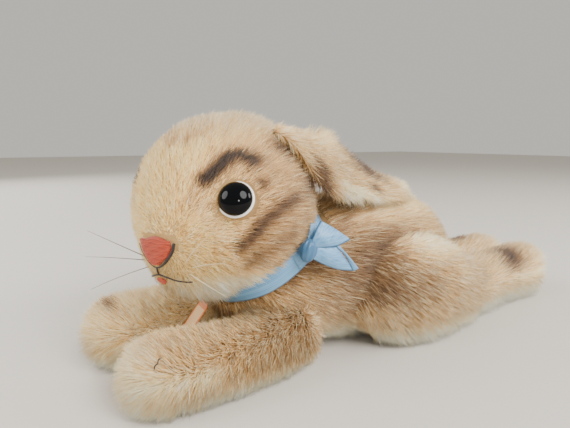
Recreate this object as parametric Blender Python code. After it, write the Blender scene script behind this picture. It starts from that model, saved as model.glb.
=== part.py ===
"""A small mohair rabbit that lies on its belly, with a disc-jointed head, lop ears and a neck bow.

Every mohair form is a cover of plush cloth round a core of wood wool.  The rabbit faces -Y with
its left side at +X, and its belly rests on Z = 0.  Lengths are in metres.
"""

import math

import bmesh
import bpy
import numpy as np
from mathutils import Matrix, Vector

MM = 0.001

# Driving dimensions
GAP = 0.3 * MM                 # air between pieces that touch on the real toy
CLOTH = 2.4 * MM               # mohair backing with its pile laid down
EAR_CLOTH = 1.5 * MM
HEAD_RADIUS = 38.5 * MM
HEAD_CENTRE = Vector((0, -80, 72)) * MM
NECK = Vector((0, -63.5, 55.5)) * MM
NECK_SLOPE = math.radians(56)  # elevation of the neck pin, which leans forward
HEAD_TURN = math.radians(30)   # the head looks a little to its left
FACE_ROLL = math.radians(-13)  # the face is sewn on askew, its brow towards its left
MUZZLE_DROP = math.radians(38)
MUZZLE_REACH = 5 * MM
EYE_AZIMUTH = {1: math.radians(50), -1: math.radians(-63)}  # left and right
EYE_LIFT = math.radians(6)
EYE_LOOK = math.radians(30)    # how far each eye looks to its own side, and then upwards
EYE_LOOK_LIFT = math.radians(19)
EYE_SINK = 2.2 * MM
EYE_DOME_RADIUS = 6.2 * MM
EYE_RIM_RADIUS = 7 * MM
DISC_RADIUS = 15 * MM
DISC_THICKNESS = 2 * MM
WASHER_RADIUS = 6 * MM
WASHER_THICKNESS = 0.8 * MM
PIN_WIRE = 0.8 * MM            # radius of the split pin's wire
RIBBON_WIDTH = 10 * MM
RIBBON_THICKNESS = 0.6 * MM
COLLAR_RADIUS = 30.5 * MM
TAG_WIDTH = 10 * MM
TAG_LENGTH = 17 * MM
TAG_THICKNESS = 0.5 * MM
WHISKER_RADIUS = 0.25 * MM
WHISKER_LENGTH = 30 * MM
# Each whisker's root as azimuth and lift in degrees, and its rise; left side, then right
WHISKERS = {
    1: [(20, -27, 0.3), (23, -30.5, 0.05), (20, -34, -0.2)],
    -1: [(-20, -27, 0.6), (-23, -30.5, 0.25), (-20, -34, -0.1)],
}
PIN_HOLE = 2.4 * MM            # radius of the holes that the pin passes
CORE_INSET = CLOTH + 2 * GAP
TAG_HANG = Vector((0, -88.4, 29.6))  # millimetres, like KNOT
TAG_LEAN = math.radians(40)
KNOT = Vector((34.6, -55, 54))

NECK_AXIS = Vector((0, -math.cos(NECK_SLOPE), math.sin(NECK_SLOPE)))
UP = Vector((0, 0, 1))

# Stations of each stuffed form in millimetres: x, y, z, half width, half height
TORSO = [
    (0, 49, 32, 15, 18), (0, 39, 33.5, 25, 28.5), (0, 21, 35.5, 31, 36), (0, -3, 36.5, 32, 37.5),
    (0, -28, 37, 31, 35.5), (0, -50, 37, 29.5, 31.5), (0, -68, 34.5, 25, 27), (0, -86, 30, 15, 17.5),
]
FRONT_LEG_LEFT = [
    (19, -46, 19, 11.5, 15), (22, -62, 15.5, 12.5, 15), (24, -84, 13.2, 13, 13.2),
    (24, -106, 13.2, 13.6, 13.6), (23, -128, 13, 12.6, 12.6),
]
FRONT_LEG_RIGHT = [
    (-19, -46, 19.5, 11.5, 15.5), (-21, -64, 16.5, 13.5, 16), (-21, -88, 15, 14.3, 15),
    (-21, -113, 14.8, 14.8, 14.8), (-20.5, -135, 14.5, 13.5, 13.8),
]
HIND_LEG = [
    (21.5, -30, 22, 10.5, 16.5), (27, -7, 27, 13.8, 26), (30, 17, 26.5, 15, 26.5), (27, 42, 20.5, 14, 19.5),
    (20.5, 64, 17, 12.5, 16.8), (16.5, 90, 16.5, 12.5, 16.3), (15, 118, 16.5, 13, 16.7),
    (14.5, 143, 16.3, 12, 15.3),
]
TAIL = [(0, 50, 35, 7, 7), (0, 55, 38, 8.5, 8.5), (0, 61, 42, 7, 7)]

# Rows along the left ear in millimetres: x, y, z, half width, face normal x, y, z
LEFT_EAR = [
    (15, -53, 102, 14.5, 0.42, 0.62, 0.66), (19.5, -39, 93.5, 15.5, 0.78, 0.38, 0.48),
    (17, -25, 87, 13.5, 0.78, 0.22, 0.58), (15, -6, 80.8, 10, 0.62, 0.18, 0.76),
    (12.5, 9, 77.5, 8, 0.50, 0.14, 0.85), (11, 18, 76.8, 3.5, 0.40, 0.10, 0.90),
]
LEFT_HINGE = Vector((14, -57, 103.9))  # a point on the line where the left ear bends
# Rows of the bow's loops and tails, in the same order
UPPER_LOOP = [
    (34.6, -50.8, 56.2, 2, 1, 0, 0.2), (36, -43, 59.4, 4.2, 0.95, 0, 0.3),
    (34.5, -33.5, 59.6, 3, 0.9, 0, 0.3),
]
LOWER_LOOP = [
    (34.6, -50.8, 51.6, 2, 1, 0, 0), (36.2, -42, 48.6, 4.2, 1, 0, -0.1), (36, -31.5, 46.4, 4, 1, 0, -0.1),
]
UPPER_TAIL = [
    (31.5, -51.5, 59.5, 2.6, 0.9, 0, 0.3), (30, -48.5, 64.5, 4, 0.9, 0, 0.4),
    (27.5, -45.5, 70, 4.2, 0.85, 0, 0.5),
]
LOWER_TAIL = [
    (32.2, -50.4, 50.2, 2.6, 1, 0, 0.1), (32.6, -41, 46.6, 4.4, 1, 0, 0), (32.8, -30.5, 45, 4.4, 1, 0, 0),
]


# ---------------------------------------------------------------- tools
def linear(channel):
    """One 0-255 screen value as the linear value that a shader takes."""
    value = channel / 255
    return value / 12.92 if value <= 0.04045 else ((value + 0.055) / 1.055) ** 2.4


def material(name, colour, roughness, metallic=0.0):
    made = bpy.data.materials.new(name)
    made.use_nodes = True
    shader = made.node_tree.nodes["Principled BSDF"]
    shader.inputs["Base Color"].default_value = (*[linear(c) for c in colour], 1)
    shader.inputs["Roughness"].default_value = roughness
    shader.inputs["Metallic"].default_value = metallic
    return made


def finish(name, form, made_of, smooth=True):
    """A linked object called name, from a bmesh in world coordinates."""
    mesh = bpy.data.meshes.new(name)
    bmesh.ops.recalc_face_normals(form, faces=form.faces)
    form.to_mesh(mesh)
    form.free()
    if smooth:
        mesh.shade_smooth()
        mesh.set_sharp_from_angle(angle=math.radians(40))
    item = bpy.data.objects.new(name, mesh)
    bpy.context.collection.objects.link(item)
    if made_of:
        mesh.materials.append(made_of)
    return item


def cutter(name, form):
    """A hidden shape that only cuts others."""
    item = finish(name, form, None, smooth=False)
    item.hide_render = True
    item.display_type = "WIRE"
    return item


def cut(item, *cutters):
    for tool in cutters:
        step = item.modifiers.new("cut_" + tool.name, "BOOLEAN")
        step.operation = "DIFFERENCE"
        step.solver = "EXACT"
        step.object = tool


def along(rows, steps):
    """Rows read at the given steps (0 to 1) of a smooth Catmull-Rom curve through them."""
    rows = np.array(rows, float)
    ends = np.vstack([2 * rows[0] - rows[1], rows, 2 * rows[-1] - rows[-2]])
    place = np.asarray(steps) * (len(rows) - 1)
    span = np.minimum(place.astype(int), len(rows) - 2)
    f = (place - span)[:, None]
    a, b, c, d = (ends[span + k] for k in range(4))
    return 0.5 * (2 * b + (c - a) * f + (2 * a - 5 * b + 4 * c - d) * f**2 + (3 * b - a - 3 * c + d) * f**3)


def unit(array):
    return array / np.linalg.norm(array, axis=-1, keepdims=True)


def lofted(rings, start, end):
    """A closed bmesh from an array of rings of points and a pole at each end."""
    form = bmesh.new()
    made = [[form.verts.new(point) for point in ring] for ring in rings]
    sides = len(made[0])
    for low, high in zip(made, made[1:]):
        for k in range(sides):
            form.faces.new((low[k], low[(k + 1) % sides], high[(k + 1) % sides], high[k]))
    for ring, point in ((made[0], start), (made[-1], end)):
        pole = form.verts.new(point)
        for k in range(sides):
            form.faces.new((ring[k], ring[(k + 1) % sides], pole))
    bmesh.ops.recalc_face_normals(form, faces=form.faces)
    return form


def stuffed(stations, rings=14, sides=18, nose=0.16, rump=0.16, inset=0.0):
    """A stuffed form: an ellipse carried along the stations, with a round first and last end.

    The ellipse shrinks as the square root of 1 - (1 - t / end)^2 within nose and rump of the ends.
    inset moves the whole skin inwards along its normals.
    """
    steps = (1 - np.cos(np.pi * np.linspace(0, 1, rings + 2))) / 2
    rows = along(stations, steps) * MM
    centre = rows[:, :3]
    ahead = unit(np.gradient(centre, axis=0))
    side = unit(np.cross(ahead, UP))
    lift = np.cross(side, ahead)
    first = np.clip(1 - steps / nose, 0, 1)
    last = np.clip(1 - (1 - steps) / rump, 0, 1)
    taper = np.sqrt((1 - first**2) * (1 - last**2))[1:-1, None, None]
    turn = np.linspace(0, 2 * np.pi, sides, endpoint=False)[None, :, None]
    across = side[1:-1, None] * rows[1:-1, 3, None, None] * np.cos(turn)
    upward = lift[1:-1, None] * rows[1:-1, 4, None, None] * np.sin(turn)
    form = lofted(centre[1:-1, None] + taper * (across + upward), centre[0], centre[-1])
    shrink(form, inset)
    return form


def shrink(form, inset):
    """Move each point of a closed form inwards along its normal."""
    form.normal_update()
    for vertex in form.verts:
        vertex.co -= vertex.normal * inset


def slice_off(form, point, normal):
    """Remove what lies beyond the plane, on its normal's side, and close the cut with a flat face."""
    faces = form.verts[:] + form.edges[:] + form.faces[:]
    bmesh.ops.bisect_plane(form, geom=faces, plane_co=point, plane_no=normal, clear_outer=True)
    rim = [edge for edge in form.edges if edge.is_boundary]
    if rim:
        bmesh.ops.contextual_create(form, geom=rim)
    bmesh.ops.recalc_face_normals(form, faces=form.faces)


def mirrored(stations):
    return [(-row[0], *row[1:]) for row in stations]


def across_head(spot, base=NECK / MM):
    """The matching spot on the other side of the turned head; a base of zero turns a direction."""
    turn = Matrix.Rotation(HEAD_TURN, 3, NECK_AXIS)
    straight = turn.inverted() @ (Vector(spot) - base)
    straight.x = -straight.x
    return turn @ straight + base


def other_ear(rows):
    return [(*across_head(row[:3]), row[3], *across_head(row[4:], Vector((0, 0, 0)))) for row in rows]


def cylinder(start, axis, radius, length, sides=24):
    form = bmesh.new()
    turn = Vector((0, 0, 1)).rotation_difference(Vector(axis)).to_matrix().to_4x4()
    middle = Vector(start) + Vector(axis).normalized() * (length / 2)
    bmesh.ops.create_cone(
        form, cap_ends=True, segments=sides, radius1=radius, radius2=radius, depth=length,
        matrix=Matrix.Translation(middle) @ turn,
    )
    return form


def wire(name, points, radius, made_of, sides=6):
    """A round closed tube through the points."""
    points = np.array(points, float)
    ahead = unit(np.gradient(points, axis=0))
    hint = np.array((0.31, 0.52, 0.79))
    side = unit(np.cross(ahead, hint))
    lift = np.cross(side, ahead)
    turn = np.linspace(0, 2 * np.pi, sides, endpoint=False)[None, :, None]
    rings = points[:, None] + radius * (side[:, None] * np.cos(turn) + lift[:, None] * np.sin(turn))
    return finish(name, lofted(rings, points[0], points[-1]), made_of)


def leaf(rows, low, high, ends=(0.0, 1.0), steps=10, strips=4, cup=0.0):
    """A leaf-shaped pad: rows of x, y, z, half width and face normal, from height low to high.

    cup bows the leaf by its value times the square of the place across it.
    """
    data = along(rows, np.linspace(*ends, steps))
    centre = data[:, :3] * MM
    face = unit(data[:, 4:7])
    ahead = unit(np.gradient(centre, axis=0))
    side = unit(np.cross(ahead, face))
    face = np.cross(side, ahead)
    across = np.linspace(-1, 1, strips + 1)[None, :, None]
    middle = centre[:, None] + side[:, None] * data[:, 3, None, None] * MM * across
    bow = cup * across**2
    top = middle + face[:, None] * (high + bow)
    base = middle + face[:, None] * (low + bow)
    form = bmesh.new()
    grids = [[[form.verts.new(p) for p in row] for row in layer] for layer in (top, base)]
    for grid in grids:
        for a, b in zip(grid, grid[1:]):
            for k in range(strips):
                form.faces.new((a[k], a[k + 1], b[k + 1], b[k]))
    upper, lower = grids
    border = [(0, k) for k in range(strips)] + [(i, strips) for i in range(steps - 1)]
    border += [(steps - 1, k) for k in range(strips, 0, -1)] + [(i, 0) for i in range(steps - 1, 0, -1)]
    for (i, k), (m, n) in zip(border, border[1:] + border[:1]):
        form.faces.new((upper[i][k], upper[m][n], lower[m][n], lower[i][k]))
    return form


# ---------------------------------------------------------------- the head's own surface
def head_direction(azimuth, lift):
    """Direction from the head's centre: azimuth from straight ahead towards +X, lift upwards."""
    x = np.sin(azimuth) * np.cos(lift)
    z = np.sin(lift) + 0 * azimuth
    roll, tip = math.cos(FACE_ROLL), math.sin(FACE_ROLL)
    return np.stack([x * roll - z * tip, -np.cos(azimuth) * np.cos(lift), z * roll + x * tip], axis=-1)


def head_radius(direction):
    """The skull's ball with a muzzle: a bell-shaped swelling round the muzzle's direction."""
    muzzle = head_direction(np.array(0.0), np.array(-MUZZLE_DROP))
    nearness = direction @ muzzle
    return HEAD_RADIUS + MUZZLE_REACH * np.exp((nearness - 1) / 0.085)


def head_point(azimuth, lift, proud=0.0):
    direction = head_direction(np.asarray(azimuth, float), np.asarray(lift, float))
    reach = head_radius(direction) + proud
    return np.array(HEAD_CENTRE) + direction * reach[..., None]


def head_form(inset=0.0, rings=14, sides=22):
    """The closed head, straight on its neck, as rings about the muzzle's direction."""
    ahead = np.array(head_direction(np.array(0.0), np.array(-MUZZLE_DROP)))
    side = np.array(head_direction(np.array(math.pi / 2), np.array(0.0)))
    lift = np.cross(side, ahead)
    polar = (np.linspace(0, 1, rings + 2)[1:-1] ** 0.85)[:, None, None] * np.pi
    turn = np.linspace(0, 2 * np.pi, sides, endpoint=False)[None, :, None]
    way = ahead * np.cos(polar) + np.sin(polar) * (side * np.cos(turn) + lift * np.sin(turn))
    centre = np.array(HEAD_CENTRE)
    rings_of_points = centre + way * head_radius(way)[..., None]
    poles = [centre + w * head_radius(w) for w in (ahead, -ahead)]
    form = lofted(rings_of_points, *poles)
    shrink(form, inset)
    return form


def patch(outline, low, high):
    """A pad on the head over an outline of (azimuth, lift) in degrees, from height low to high."""
    angles = np.radians(np.array(outline, float))
    middle = angles.mean(axis=0)
    rings = [middle + (angles - middle) * part for part in (0.5, 1.0)]
    form = bmesh.new()
    layers = []
    for height in (high, low):
        rows = [[form.verts.new(p) for p in head_point(r[:, 0], r[:, 1], height)] for r in rings]
        layers.append((form.verts.new(head_point(*middle, height)), *rows))
    count = len(outline)
    for centre, inner, outer in layers:
        for k in range(count):
            n = (k + 1) % count
            form.faces.new((centre, inner[k], inner[n]))
            form.faces.new((inner[k], outer[k], outer[n], inner[n]))
    for k in range(count):
        n = (k + 1) % count
        form.faces.new((layers[0][2][k], layers[0][2][n], layers[1][2][n], layers[1][2][k]))
    return form


def head_path(points, steps, proud):
    """Points along a smooth line over the head, through (azimuth, lift) places in degrees."""
    place = np.radians(along(points, np.linspace(0, 1, steps)))
    return head_point(place[:, 0], place[:, 1], proud)


# ---------------------------------------------------------------- pieces
def make_torso(cloth, wool):
    """The body cover with a belly cut flat, and a neck face with a small hole for the pin."""
    cover, inner, core = (stuffed(TORSO, rings=15, sides=22, inset=i) for i in (0, CLOTH, CORE_INSET))
    for form, inset in ((cover, 0), (inner, CLOTH), (core, CORE_INSET)):
        slice_off(form, Vector((0, 0, inset)), -UP)
        slice_off(form, NECK - NECK_AXIS * (GAP / 2 + inset), NECK_AXIS)
    cover_item = finish("body_cover", cover, cloth)
    collar_clearance = cutter("collar_clearance", collar_ring(GAP))
    cut(cover_item, cutter("body_hollow", inner), cutter("body_pin_hole", neck_rod(PIN_HOLE, -8, 2)))
    cut(cover_item, collar_clearance)
    core_item = finish("body_stuffing", core, wool)
    cut(core_item, cutter("body_disc_room", neck_rod(DISC_RADIUS + 1 * MM, -18, 4)))
    wide = cutter("body_core_collar_room", collar_ring(GAP + CLOTH))
    cut(core_item, wide)
    return cover_item, core_item


def neck_rod(radius, low, high, sides=24):
    """A cylinder about the neck pin's line, between two heights in millimetres from the neck face."""
    return cylinder(NECK + NECK_AXIS * low * MM, NECK_AXIS, radius, (high - low) * MM, sides)


def collar_ring(clearance=0.0, segments=28):
    """A flat ribbon's ring about the neck pin's line, just under the neck face."""
    across = Vector((1, 0, 0))
    back = NECK_AXIS.cross(across).normalized()
    top = -0.6 * MM + clearance
    base = top - RIBBON_WIDTH - 2 * clearance
    inner = COLLAR_RADIUS - clearance
    outer = COLLAR_RADIUS + RIBBON_THICKNESS + clearance
    if clearance:
        outer = COLLAR_RADIUS + 30 * MM
    form = bmesh.new()
    rings = []
    for k in range(segments):
        turn = 2 * math.pi * k / segments
        way = across * math.cos(turn) + back * math.sin(turn)
        corners = ((inner, top), (outer, top), (outer, base), (inner, base))
        rings.append([form.verts.new(NECK + way * r + NECK_AXIS * h) for r, h in corners])
    for k in range(segments):
        now, later = rings[k], rings[(k + 1) % segments]
        for c in range(4):
            form.faces.new((now[c], now[(c + 1) % 4], later[(c + 1) % 4], later[c]))
    return form


def make_leg(name, stations, cloth, wool, clear):
    """A leg: a cover that is open where it is sewn to the body, round its own core."""
    cover, inner, core = (stuffed(stations, rings=12, sides=14, inset=i) for i in (0, CLOTH, CORE_INSET))
    for form, inset in ((cover, 0), (inner, CLOTH), (core, CORE_INSET)):
        slice_off(form, Vector((0, 0, inset)), -UP)
    cover_item = finish(name + "_cover", cover, cloth)
    cut(cover_item, cutter(name + "_hollow", inner), clear)
    core_item = finish(name + "_stuffing", core, wool)
    cut(core_item, clear)


def make_body(cloth, wool, pale):
    make_torso(cloth, wool)
    clear_form = stuffed(TORSO, rings=15, sides=22, inset=-GAP)
    clear = cutter("torso_clearance", clear_form)
    for side, front, hind in (
        ("left", FRONT_LEG_LEFT, HIND_LEG), ("right", FRONT_LEG_RIGHT, mirrored(HIND_LEG)),
    ):
        make_leg("front_leg_" + side, front, cloth, wool, clear)
        make_leg("hind_leg_" + side, hind, cloth, wool, clear)
    tail = finish("tail", stuffed(TAIL, rings=6, sides=12, nose=0.5, rump=0.5), pale)
    cut(tail, clear)


def make_neck_joint(board, steel):
    """Two discs, two washers and a split pin, which let the head turn on the body."""
    pieces = {"body": [], "head": []}
    for side, way in (("body", -1), ("head", 1)):
        disc_near = way * (CLOTH / MM + 0.5)
        disc_far = disc_near + way * DISC_THICKNESS / MM
        washer_near = disc_far + way * GAP / MM
        washer_far = washer_near + way * WASHER_THICKNESS / MM
        disc = finish("neck_disc_" + side, neck_rod(DISC_RADIUS, *sorted((disc_near, disc_far))), board)
        washer = finish(
            "neck_washer_" + side,
            neck_rod(WASHER_RADIUS, *sorted((washer_near, washer_far)), 18), steel,
        )
        hole = cutter("neck_bore_" + side, neck_rod(PIN_HOLE, -12, 12, 12))
        cut(disc, hole)
        cut(washer, hole)
        pieces[side] = [disc, washer, hole]
    pieces["head"].append(split_pin(steel))
    return pieces


def split_pin(steel):
    """One wire: a curl, a leg up through the discs, an eye on top, a leg down and the other curl."""
    leg, leg_foot, curl, eye, eye_centre = 1.0, -7.3, 2.0, 2.2, 9.4

    def spot(side, height):
        return NECK + Vector((side * MM, 0, 0)) + NECK_AXIS * (height * MM)

    open_angle = math.asin(leg / eye)
    turns = np.linspace(math.pi + open_angle, -math.pi - open_angle, 15) + math.pi / 2 - math.pi
    eye_points = [spot(eye * math.cos(a), eye_centre + eye * math.sin(a)) for a in turns[1:-1]]
    bend = np.linspace(0, 2.9, 6)
    curls = [(leg + curl - curl * math.cos(a), leg_foot - curl * math.sin(a)) for a in bend]
    legs = [(leg, -3.5), (leg, 0.0), (leg, 3.5), (leg, 6.3)]
    half = curls[::-1] + legs
    left = [spot(-x, h) for x, h in half]
    right = [spot(x, h) for x, h in half[::-1]]
    return wire("neck_split_pin", left + eye_points + right, PIN_WIRE, steel)


def make_head(cloth, wool):
    """The head's cover and core, with a flat neck face, a pin hole and a seat for each eye."""
    cover, inner, core = (head_form(inset=i) for i in (0, CLOTH, CORE_INSET))
    for form, inset in ((cover, 0), (inner, CLOTH), (core, CORE_INSET)):
        slice_off(form, NECK + NECK_AXIS * (GAP / 2 + inset), -NECK_AXIS)
    hollow = cutter("head_hollow", inner)
    pin_hole = cutter("head_pin_hole", neck_rod(PIN_HOLE, -2, 8, 12))
    disc_room = cutter("head_disc_room", neck_rod(DISC_RADIUS + 1 * MM, -4, 18))
    seats = []
    for side, way in (("left", 1), ("right", -1)):
        centre, facing = eye_seat(way)
        seats.append(cutter("eye_seat_" + side, cylinder(
            centre - facing * GAP, facing, EYE_RIM_RADIUS + GAP, 12 * MM, 18)))
        seats.append(cutter("eye_shank_room_" + side, cylinder(
            centre - facing * 12 * MM, facing, 2 * MM, 14 * MM, 10)))
    cover_item = finish("head_cover", cover, cloth)
    cut(cover_item, hollow, pin_hole, *seats)
    core_item = finish("head_stuffing", core, wool)
    cut(core_item, disc_room, *seats)
    return [cover_item, core_item, hollow, pin_hole, disc_room, *seats]


def eye_seat(way):
    """The middle of an eye's back and the way the eye looks; way is 1 on the left, -1 on the right."""
    centre = Vector(head_point(np.array(EYE_AZIMUTH[way]), np.array(EYE_LIFT), -EYE_SINK))
    facing = Vector(head_direction(np.array(EYE_LOOK * way), np.array(EYE_LOOK_LIFT)))
    return centre, facing


def turned(name, origin, axis, profile, made_of, sides=20):
    """A round piece from a profile of (radius, height) in millimetres; its ends lie on the axis."""
    axis = np.array(Vector(axis).normalized())
    side = unit(np.cross(axis, (0.31, 0.52, 0.79)))
    lift = np.cross(axis, side)
    turn = np.linspace(0, 2 * np.pi, sides, endpoint=False)[None, :, None]
    profile = np.array(profile, float) * MM
    out = profile[1:-1, 0, None, None] * (side * np.cos(turn) + lift * np.sin(turn))
    rings = np.array(origin) + profile[1:-1, 1, None, None] * axis + out
    poles = [np.array(origin) + profile[end, 1] * axis for end in (0, -1)]
    return finish(name, lofted(rings, *poles), made_of)


def make_eyes(glass, white, steel):
    """Each eye: a black glass dome on a white rim, and a wire shank sunk in the head."""
    rim, dome = EYE_RIM_RADIUS / MM, EYE_DOME_RADIUS / MM
    pieces = []
    for side, way in (("left", 1), ("right", -1)):
        centre, facing = eye_seat(way)
        pieces.append(turned("eye_rim_" + side, centre, facing, [
            (0, 0), (rim - 0.3, 0), (rim, 0.4), (rim, 1.1), (rim - 0.7, 1.7), (0, 1.7)], white))
        arc = [(dome * math.cos(a), 2.4 + 4 * math.sin(a)) for a in np.linspace(0, 1.25, 5)]
        pieces.append(turned("eye_dome_" + side, centre, facing, [
            (0, 2), (dome, 2), *arc, (0, 6.4)], glass))
        across = facing.cross(UP).normalized()
        bends = ((-1, -0.3), (-1, -4), (-0.8, -8), (0, -9), (0.8, -8), (1, -4), (1, -0.3))
        shank = [centre + across * (s * MM) + facing * (h * MM - 0.5 * MM) for s, h in bends]
        pieces.append(wire("eye_shank_" + side, shank, 0.4 * MM, steel))
    return pieces


def make_face(coral, black, bristle):
    """Stitched nose, its outline, the mouth and lip, and three whiskers on each side."""
    nose = [
        (-10.5, -15.6), (-4, -13.8), (1.5, -13.5), (7, -13.8), (13, -15.6), (11.8, -18.6),
        (7, -24), (1.5, -26.8), (-4, -24), (-9, -18.6),
    ]
    pieces = [finish("nose_stitching", patch(nose, GAP, 1.6 * MM), coral)]
    thread = 0.6 * MM
    rim = [(-12.8, -16.2), (-11, -20), (-6, -26), (1, -29.2), (9, -26), (14, -20), (15.4, -16.2)]
    pieces.append(wire("nose_outline", head_path(rim, 17, thread + GAP), thread, black))
    middle = head_path([(0.8, -30.8), (0.6, -31.5), (0.4, -32.2)], 5, thread + GAP)
    pieces.append(wire("mouth_stitch_middle", middle, thread * 0.8, black))
    smile = [
        (-22, -41.5), (-15, -38.4), (-7, -35.2), (0, -33.7), (7, -35.2), (15, -38.4), (22, -41.5),
    ]
    pieces.append(wire("mouth_stitch", head_path(smile, 19, thread + GAP), thread * 0.8, black))
    lip = [(-3.6, -37.4), (0, -35.8), (3.6, -37.4), (2.4, -39.3), (0, -40), (-2.4, -39.3)]
    pieces.append(finish("lip_stitch", patch(lip, GAP, 1.3 * MM), coral))
    for side, way in (("left", 1), ("right", -1)):
        for k, (azimuth, lift, rise) in enumerate(WHISKERS[way]):
            root = head_point(math.radians(azimuth), math.radians(lift), GAP)
            out = np.array((0.83 * way, -0.42, rise))
            t = np.linspace(0, 1, 7)[:, None]
            bend = np.array((0, 3, -1.5)) * (t * t) * MM
            pieces.append(wire(f"whisker_{side}_{k + 1}", root + unit(out) * t * WHISKER_LENGTH + bend,
                               WHISKER_RADIUS, bristle, sides=4))
    return pieces


def make_ear(side, rows, hinge, cloth, lining):
    """One ear of two layers sewn at the rim, under an empty on the line where it bends."""
    back = EAR_CLOTH + GAP / 2
    items = [
        finish(f"ear_{side}_back", leaf(rows, -back, -GAP / 2, cup=-1.2 * MM), cloth),
        finish(f"ear_{side}_lining", leaf(rows, GAP / 2, back, cup=-1.2 * MM), lining),
    ]
    under_empty(f"ear_{side}_line", hinge * MM, items)


def make_ribbon(satin):
    """The collar, a knot at the left of the neck, two loops and two tails."""
    finish("ribbon_collar", collar_ring(), satin)
    knot = bmesh.new()
    bmesh.ops.create_cube(knot, size=1, matrix=Matrix.Translation(KNOT * MM) @ Matrix.Diagonal(
        (*(Vector((6.2, 7, 7.6)) * MM), 1)))
    bmesh.ops.bevel(knot, geom=knot.edges[:] + knot.verts[:], offset=1.6 * MM, segments=2, affect="EDGES")
    finish("bow_knot", knot, satin)
    loop = 1.4 * MM
    for name, rows, half in (
        ("bow_loop_upper", UPPER_LOOP, loop), ("bow_loop_lower", LOWER_LOOP, loop),
        ("bow_tail_upper", UPPER_TAIL, RIBBON_THICKNESS / 2),
        ("bow_tail_lower", LOWER_TAIL, RIBBON_THICKNESS / 2),
    ):
        finish(name, leaf(rows, -half, half, steps=7), satin)


def make_tag(card, thread):
    """A plain card that swings on a thread at the front of the collar."""
    hang = TAG_HANG * MM
    down = Vector((0, -math.sin(TAG_LEAN), -math.cos(TAG_LEAN)))
    face = Vector((0, -down.z, down.y))
    form = bmesh.new()
    bmesh.ops.create_cube(form, size=1, matrix=Matrix.Diagonal((TAG_WIDTH, TAG_THICKNESS, TAG_LENGTH, 1)))
    corners = [e for e in form.edges if abs((e.verts[0].co - e.verts[1].co).y) > 0.5 * TAG_THICKNESS]
    bmesh.ops.bevel(form, geom=corners, offset=1.2 * MM, segments=2, affect="EDGES")
    axes = Matrix((Vector((1, 0, 0)), face, -down)).transposed().to_4x4()
    middle = hang + down * (TAG_LENGTH / 2 + 0.9 * MM)
    bmesh.ops.transform(form, matrix=Matrix.Translation(middle) @ axes, verts=form.verts)
    under_empty("tag_line", hang, [finish("chest_tag", form, card, smooth=False)])
    loop = [(-1, 1.5, 1.4), (-0.8, 0.5, 1.6), (0, 0, 1.3), (0.8, 0.5, 1.6), (1, 1.5, 1.4)]
    wire("tag_thread", [hang + Vector(p) * MM for p in loop], 0.25 * MM, thread)


def under_empty(name, place, items, turn=None):
    """Hang items on an empty at place; their meshes are moved to its coordinates."""
    empty = bpy.data.objects.new(name, None)
    bpy.context.collection.objects.link(empty)
    empty.location = place
    if turn:
        empty.rotation_mode = "QUATERNION"
        empty.rotation_quaternion = turn.to_quaternion()
    for item in items:
        item.data.transform(Matrix.Translation(-place))
        item.parent = empty


def main():
    for item in list(bpy.data.objects):
        bpy.data.objects.remove(item, do_unlink=True)
    plush = material("tan_mohair", (205, 178, 142), 0.95)
    pale = material("pale_mohair", (214, 198, 168), 0.95)
    lining = material("short_mohair", (188, 162, 128), 0.9)
    wool = material("wood_wool", (196, 170, 118), 0.9)
    board = material("fibre_board", (150, 118, 82), 0.8)
    steel = material("steel_wire", (170, 170, 168), 0.35, 1.0)
    glass = material("black_glass", (6, 8, 12), 0.05)
    white = material("white_glass", (232, 230, 224), 0.25)
    coral = material("coral_thread", (196, 88, 56), 0.6)
    black = material("black_thread", (32, 24, 22), 0.7)
    bristle = material("bristle", (120, 108, 92), 0.5)
    satin = material("blue_satin", (130, 172, 202), 0.35)
    card = material("tag_card", (214, 150, 96), 0.7)
    thread = material("tag_thread", (222, 212, 190), 0.8)
    make_body(plush, wool, pale)
    joint = make_neck_joint(board, steel)
    head_items = make_head(plush, wool) + make_eyes(glass, white, steel) + make_face(coral, black, bristle)
    head_items += joint["head"]
    under_empty("neck_line", NECK, head_items, Matrix.Rotation(HEAD_TURN, 3, NECK_AXIS))
    make_ear("left", LEFT_EAR, LEFT_HINGE, plush, lining)
    make_ear("right", other_ear(LEFT_EAR), across_head(LEFT_HINGE), plush, lining)
    make_ribbon(satin)
    make_tag(card, thread)


main()
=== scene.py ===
"""Looks of a small mohair rabbit that lies on its belly: skins, pile, eyes, stitches and ribbon.

Lengths are in metres in the row frame.  The rabbit faces -Y, its left is +X, it lies on Z = 0.
"""

import math

import bpy
import numpy as np
from mathutils import Matrix, Vector


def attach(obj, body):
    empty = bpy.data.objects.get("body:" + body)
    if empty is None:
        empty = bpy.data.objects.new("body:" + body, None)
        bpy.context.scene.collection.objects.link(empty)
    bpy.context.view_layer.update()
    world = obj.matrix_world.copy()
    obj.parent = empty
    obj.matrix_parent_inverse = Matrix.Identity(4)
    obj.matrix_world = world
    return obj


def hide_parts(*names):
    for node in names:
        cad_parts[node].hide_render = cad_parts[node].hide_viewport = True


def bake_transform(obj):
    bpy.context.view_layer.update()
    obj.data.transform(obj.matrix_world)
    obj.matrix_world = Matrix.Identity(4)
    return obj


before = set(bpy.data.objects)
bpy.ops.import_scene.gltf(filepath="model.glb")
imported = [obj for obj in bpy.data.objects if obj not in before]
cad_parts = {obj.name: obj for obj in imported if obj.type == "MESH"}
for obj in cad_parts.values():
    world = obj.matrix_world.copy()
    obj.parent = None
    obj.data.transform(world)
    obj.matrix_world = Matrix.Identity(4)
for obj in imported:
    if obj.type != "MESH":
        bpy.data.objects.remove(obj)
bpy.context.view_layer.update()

MM = 0.001
UP = np.array((0.0, 0.0, 1.0))

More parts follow.
